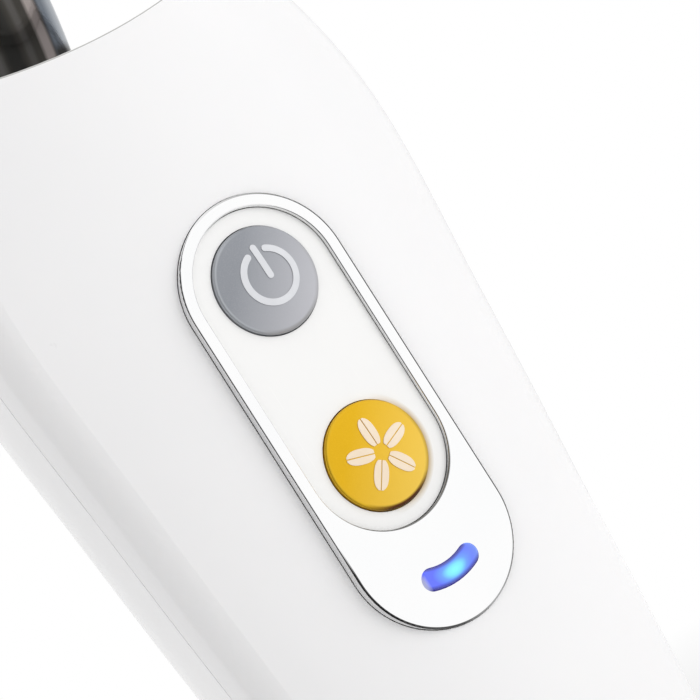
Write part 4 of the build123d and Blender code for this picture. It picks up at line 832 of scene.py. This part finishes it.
# %% [markdown]
# A petal is two bowed strips with a thin slit between them. Each strip is a grid whose points
# are moved out to the bow, which is blunter at the petal's outer end. The same petal is made
# five times, turned each time by a fifth of a turn more.

# %% Flower of five petals
PETALS = 5
PETAL_INNER = 0.85 * MM
PETAL_OUTER = 3.86 * MM
PETAL_WIDTH = 1.60 * MM
PETAL_SLIT = 0.11 * MM
PETAL_ROWS = 16
PETAL_COLUMNS = 4
# The bow would close at these shares of the petal's length from its middle, inwards and outwards.
BOW_REACHES = (0.56, 0.52)
BOW_FLATNESS = 2.6
BOW_FULLNESS = 0.6
FLOWER_SHIFT = (0.29 * MM, 0.01 * MM)


def half_petal(sketch, side):
    """One half of a petal that points up: a strip between the slit and a bowed outline."""
    length = PETAL_OUTER - PETAL_INNER
    widest = (PETAL_WIDTH - PETAL_SLIT) / 2
    strip = bmesh.ops.create_grid(sketch, x_segments=PETAL_COLUMNS, y_segments=PETAL_ROWS, size=0.5)["verts"]
    for vert in strip:
        off_middle = vert.co.y
        across = vert.co.x + 0.5
        reach = BOW_REACHES[0] if off_middle < 0 else BOW_REACHES[1]
        bow = (1 - abs(off_middle / reach) ** BOW_FLATNESS) ** BOW_FULLNESS
        vert.co.x = side * (PETAL_SLIT / 2 + across * widest * bow)
        vert.co.y = PETAL_INNER + length * (off_middle + 0.5)
    return strip


def flower():
    """The five petals, laid on the mode button."""
    sketch = bmesh.new()
    for k in range(PETALS):
        petal = half_petal(sketch, -1) + half_petal(sketch, 1)
        turn = Matrix.Rotation(2 * pi * k / PETALS, 3, "Z")
        bmesh.ops.rotate(sketch, verts=petal, cent=(0, 0, 0), matrix=turn)
    bmesh.ops.recalc_face_normals(sketch, faces=sketch.faces)
    thicken(sketch)
    lay_on_button(sketch, "mode_button", FLOWER_SHIFT)
    bmesh.ops.recalc_face_normals(sketch, faces=sketch.faces)
    return sketch


sign_cream = sign_paint("sign_cream", (0.93, 0.79, 0.62), drift=(0.90, 0.74, 0.56), roughness=0.42)
finish_piece("mode_flower", flower(), sign_cream, "mode_press", smooth=False)

# %% [markdown]
# ## Soft cover of the head
# The head wears a silicone cap over a stiff core. In CAD it is a plain closed shell. Silicone is
# moulded and keeps its shape, so it needs no cloth simulation. Its profile is drawn once, with a
# rounded foot, two shallow grip grooves and the domed top, and spun about the head's axis.
# Silicone is soft and lets light in a little, so it gets some subsurface scattering and a dry,
# low gloss.

# %% Soft cover of the head
PAD_STEPS = 128
PAD_FOOT = 0.6 * MM
FOOT_STEPS = 6
GROOVE_DEPTH = 0.35 * MM
GROOVE_WIDTH = 1.1 * MM
GROOVE_HEIGHTS = (4.0 * MM, 7.0 * MM)
GROOVE_STEPS = 8
PAD_CORNER = 11.0 * MM
PAD_DOME = 18.0 * MM
DOME_STEPS = 24
PAD_WALL = 2.6 * MM
pad_low, pad_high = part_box("head_pad")
pad_middle = (pad_low + pad_high) / 2
pad_radius = (pad_high.x - pad_low.x) / 2


def arc(centre, radius, begin, end, steps):
    """Points of an arc as (radius, z), from one angle to another."""
    angles = [begin + (end - begin) * k / steps for k in range(steps + 1)]
    return [(centre[0] + radius * cos(angle), centre[1] + radius * sin(angle)) for angle in angles]


def dome_profile(inset):
    """Points of the domed top from the side to the middle, drawn in by inset."""
    shoulder = pad_radius - PAD_CORNER
    crest = (shoulder**2 + PAD_DOME**2 - PAD_CORNER**2) / (2 * (PAD_DOME - PAD_CORNER))
    turn = atan2(crest - PAD_DOME, shoulder)
    corner = arc((shoulder, pad_high.z - PAD_DOME), PAD_CORNER - inset, 0, turn, DOME_STEPS)
    crown = arc((0, pad_high.z - crest), crest - inset, turn, pi / 2, DOME_STEPS)
    crown[-1] = (0.0, crown[-1][1])
    return corner[:-1] + crown


def side_profile():
    """Points of the side from its rounded foot up, with the grooves."""
    points = arc((pad_radius - PAD_FOOT, pad_low.z + PAD_FOOT), PAD_FOOT, -pi / 2, 0, FOOT_STEPS)
    for height in GROOVE_HEIGHTS:
        for share in [k / GROOVE_STEPS for k in range(GROOVE_STEPS + 1)]:
            dip = GROOVE_DEPTH * sin(pi * share)
            points.append((pad_radius - dip, pad_low.z + height + GROOVE_WIDTH * (share - 0.5)))
    return points


def head_cover():
    """The whole profile, spun about the head's axis. The edge on the axis itself is left out."""
    outline = side_profile() + dome_profile(0)
    inside = dome_profile(PAD_WALL)[::-1] + [(pad_radius - PAD_WALL, pad_low.z)]
    cover = bmesh.new()
    loop = [cover.verts.new((x, 0, z)) for x, z in outline + inside]
    pairs = [pair for pair in zip(loop, loop[1:] + loop[:1]) if pair[0].co.x + pair[1].co.x > 0]
    edges = [cover.edges.new(pair) for pair in pairs]
    bmesh.ops.spin(cover, geom=loop + edges, cent=(0, 0, 0), axis=(0, 0, 1), angle=2 * pi, steps=PAD_STEPS,
                   use_merge=True, use_duplicate=False)
    bmesh.ops.remove_doubles(cover, verts=cover.verts, dist=MERGE_REACH)
    bmesh.ops.translate(cover, verts=cover.verts, vec=(pad_middle.x, pad_middle.y, 0))
    bmesh.ops.recalc_face_normals(cover, faces=cover.faces)
    return cover


silicone, silicone_tree, silicone_shader = new_material(
    "silicone_pad", (0.72, 0.72, 0.725), 0.48, Subsurface_Weight=0.25, Sheen_Weight=0.15
)
silicone_shader.inputs["Subsurface Radius"].default_value = (1.0, 0.85, 0.75)
silicone_shader.inputs["Subsurface Scale"].default_value = 3.0 * MM
add_color_drift(silicone_tree, silicone_shader, (0.69, 0.69, 0.70), scale=60.0, detail=4.0)
add_skin(silicone_tree, silicone_shader, swell=0.4, swell_scale=50.0, grain=0.8, grain_scale=3000.0,
         strength=0.35)
add_handling(silicone_tree, silicone_shader, hairlines=0.03, film=0.14)
cover = finish_piece("head_cover", head_cover(), silicone, "handle", smooth=True)
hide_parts("head_pad")

# %% [markdown]
# ## Studio
# The picture has a plain white background and soft light. The floor is a wide pale disc that
# keeps the wand's shadow near its foot and fades to the background's white further out. The
# world is white for the camera and for reflections, and a dimmer white for the light that it
# sheds, which leaves room for a large soft lamp on the right to shape the form. Both tell these
# apart with a Light Path node.

# %% Floor
FLOOR_RADIUS = 2.5
SHADOW_REACH = 0.22


def seen_rays(tree):
    """1 for what the camera sees, directly, in a mirror or through glass, and 0 for shed light."""
    path = tree.nodes.new("ShaderNodeLightPath")
    seen = math_node(tree, "MAXIMUM", path.outputs["Is Camera Ray"], path.outputs["Is Glossy Ray"])
    return math_node(tree, "MAXIMUM", seen, path.outputs["Is Transmission Ray"])


def mix_shaders(tree, share, first, second):
    """Puts a mix of two shaders out to a material's surface."""
    mixed = tree.nodes.new("ShaderNodeMixShader")
    for place, socket in enumerate((share, first.outputs[0], second.outputs[0])):
        tree.links.new(socket, mixed.inputs[place])
    tree.links.new(mixed.outputs[0], tree.nodes["Material Output"].inputs["Surface"])


floor_mesh = bmesh.new()
bmesh.ops.create_circle(floor_mesh, cap_ends=True, segments=96, radius=FLOOR_RADIUS)
floor_data = bpy.data.meshes.new("floor")
floor_mesh.to_mesh(floor_data)
floor_mesh.free()
floor = bpy.data.objects.new("floor", floor_data)
bpy.context.scene.collection.objects.link(floor)
floor_material, floor_tree, floor_shader = new_material("floor_pale", (0.86, 0.86, 0.86), 0.9)
floor_shader.inputs["Specular IOR Level"].default_value = 0.1
distance = add_node(floor_tree, "ShaderNodeVectorMath", operation="LENGTH")
floor_tree.links.new(place_coordinates(floor_tree), distance.inputs[0])
fade = span_mask(floor_tree, distance.outputs["Value"], SHADOW_REACH, SHADOW_REACH * 2)
blend = math_node(floor_tree, "MULTIPLY", seen_rays(floor_tree), fade)
mix_shaders(floor_tree, blend, floor_shader, add_node(floor_tree, "ShaderNodeEmission", Strength=1.0))
floor_data.materials.append(floor_material)
print("floor radius in metres:", FLOOR_RADIUS)

# %% World
WORLD_SEEN = 1.0
WORLD_LIGHT = 0.83
world = bpy.data.worlds.new("world")
bpy.context.scene.world = world
world.use_nodes = True
sky = world.node_tree
background = sky.nodes["Background"]
background.inputs["Color"].default_value = (1, 1, 1, 1)
strength = sky.nodes.new("ShaderNodeMapRange")
strength.inputs["To Min"].default_value = WORLD_LIGHT
strength.inputs["To Max"].default_value = WORLD_SEEN
sky.links.new(seen_rays(sky), strength.inputs["Value"])
sky.links.new(strength.outputs["Result"], background.inputs["Strength"])
print("world, seen and shed:", WORLD_SEEN, WORLD_LIGHT)

# %% [markdown]
# One large soft lamp stands to the right of the camera and above it. Mirrors don't see it,
# because it would show as a bright square in the glossy white of the body.

# %% Lamp
LAMP_SIZE = 0.55
LAMP_PLACE = Vector((0.45, -0.52, 0.28))
LAMP_TARGET = Vector((0, 0, 0.12))
LAMP_POWER = 1.45
lamp_data = bpy.data.lights.new("soft_lamp", "AREA")
lamp_data.shape = "SQUARE"
lamp_data.size = LAMP_SIZE
lamp_data.energy = LAMP_POWER
lamp = bpy.data.objects.new("soft_lamp", lamp_data)
lamp.location = LAMP_PLACE
lamp.rotation_mode = "QUATERNION"
lamp.rotation_quaternion = (LAMP_TARGET - LAMP_PLACE).to_track_quat("-Z", "Y")
lamp.visible_camera = False
lamp.visible_glossy = False
bpy.context.scene.collection.objects.link(lamp)
print("lamp's distance in metres:", round((LAMP_TARGET - LAMP_PLACE).length, 2))

# %% [markdown]
# Polished plating shows what stands around it. A dark drape hangs round the camera's side, from
# the wand's left to just past the camera. It is what the neck mirrors as dark bands, beside the
# streaks painted into the tube's colour, and it keeps light off the wand's left, which gives the
# white body its shape. Dark cards that only mirrors see add fine dark reflections to the edges of
# the bright surround, beside the dark lines painted into its colour, and leave the soft light on
# the body alone. Towards its right end the dark cloth thins out to nothing, so that no edge shows
# in the white body. A pale grey card on the far right keeps the body's right edge apart from the
# background.

# %% Drape and cards
CARD_RADIUS = 0.50
DARK_BEGIN = radians(-105)
DARK_END = radians(-18)
DARK_FADE = radians(30)
PALE_GLOW = 0.80
PALE_BEGIN = radians(62)
PALE_END = radians(140)

dark, dark_tree, dark_shader = new_material("card_dark", (0.05, 0.05, 0.05), 0.95)
dark_place = find_place(dark_tree)
towards_camera = math_node(dark_tree, "MULTIPLY", dark_place["Y"], -1.0)
heading = math_node(dark_tree, "ARCTAN2", dark_place["X"], towards_camera)
thin = span_mask(dark_tree, heading, DARK_END - DARK_FADE, DARK_END)
mix_shaders(dark_tree, thin, dark_shader, dark_tree.nodes.new("ShaderNodeBsdfTransparent"))
pale_card, _, pale_shader = new_material("card_pale", (0, 0, 0), 1.0, Emission_Strength=PALE_GLOW)
pale_shader.inputs["Emission Color"].default_value = (1, 1, 1, 1)


def stage_piece(name, mesh_data, material, shades=False):
    """A piece of the stage that mirrors see and the camera doesn't. Only a drape also shades the wand."""
    mesh = bpy.data.meshes.new(name)
    mesh_data.to_mesh(mesh)
    mesh_data.free()
    mesh.materials.append(material)
    piece = bpy.data.objects.new(name, mesh)
    piece.visible_camera = False
    piece.visible_diffuse = False
    piece.visible_shadow = shades
    bpy.context.scene.collection.objects.link(piece)
    print(name, "faces:", len(mesh.polygons))


def round_card(begin, end, low, high, inner=0):
    """A card that stands round the wand between two headings. Its foot starts inner from the middle."""
    card = bmesh.new()
    points = [(CARD_RADIUS, low), (CARD_RADIUS, high)]
    if inner:
        points.insert(0, (inner, low))
    corners = [card.verts.new((reach * sin(begin), -reach * cos(begin), height)) for reach, height in points]
    edges = [card.edges.new(pair) for pair in zip(corners, corners[1:])]
    bmesh.ops.spin(card, geom=corners + edges, cent=(0, 0, 0), axis=(0, 0, 1), angle=end - begin, steps=24,
                   use_merge=False, use_duplicate=False)
    return card


def ceiling_card(radius, height):
    """A round card that lies over the wand."""
    card = bmesh.new()
    bmesh.ops.create_circle(card, cap_ends=True, segments=48, radius=radius)
    bmesh.ops.translate(card, verts=card.verts, vec=(0, 0, height))
    return card


stage_piece("drape", round_card(DARK_BEGIN, DARK_END, low=0.001, high=0.55), dark, shades=True)
stage_piece("left_card", round_card(DARK_BEGIN, DARK_END, low=0.002, high=1.10, inner=0.04), dark)
stage_piece("right_card", round_card(PALE_BEGIN, PALE_END, low=0.03, high=0.90), pale_card)
stage_piece("ceiling_card", ceiling_card(radius=0.50, height=0.95), dark)
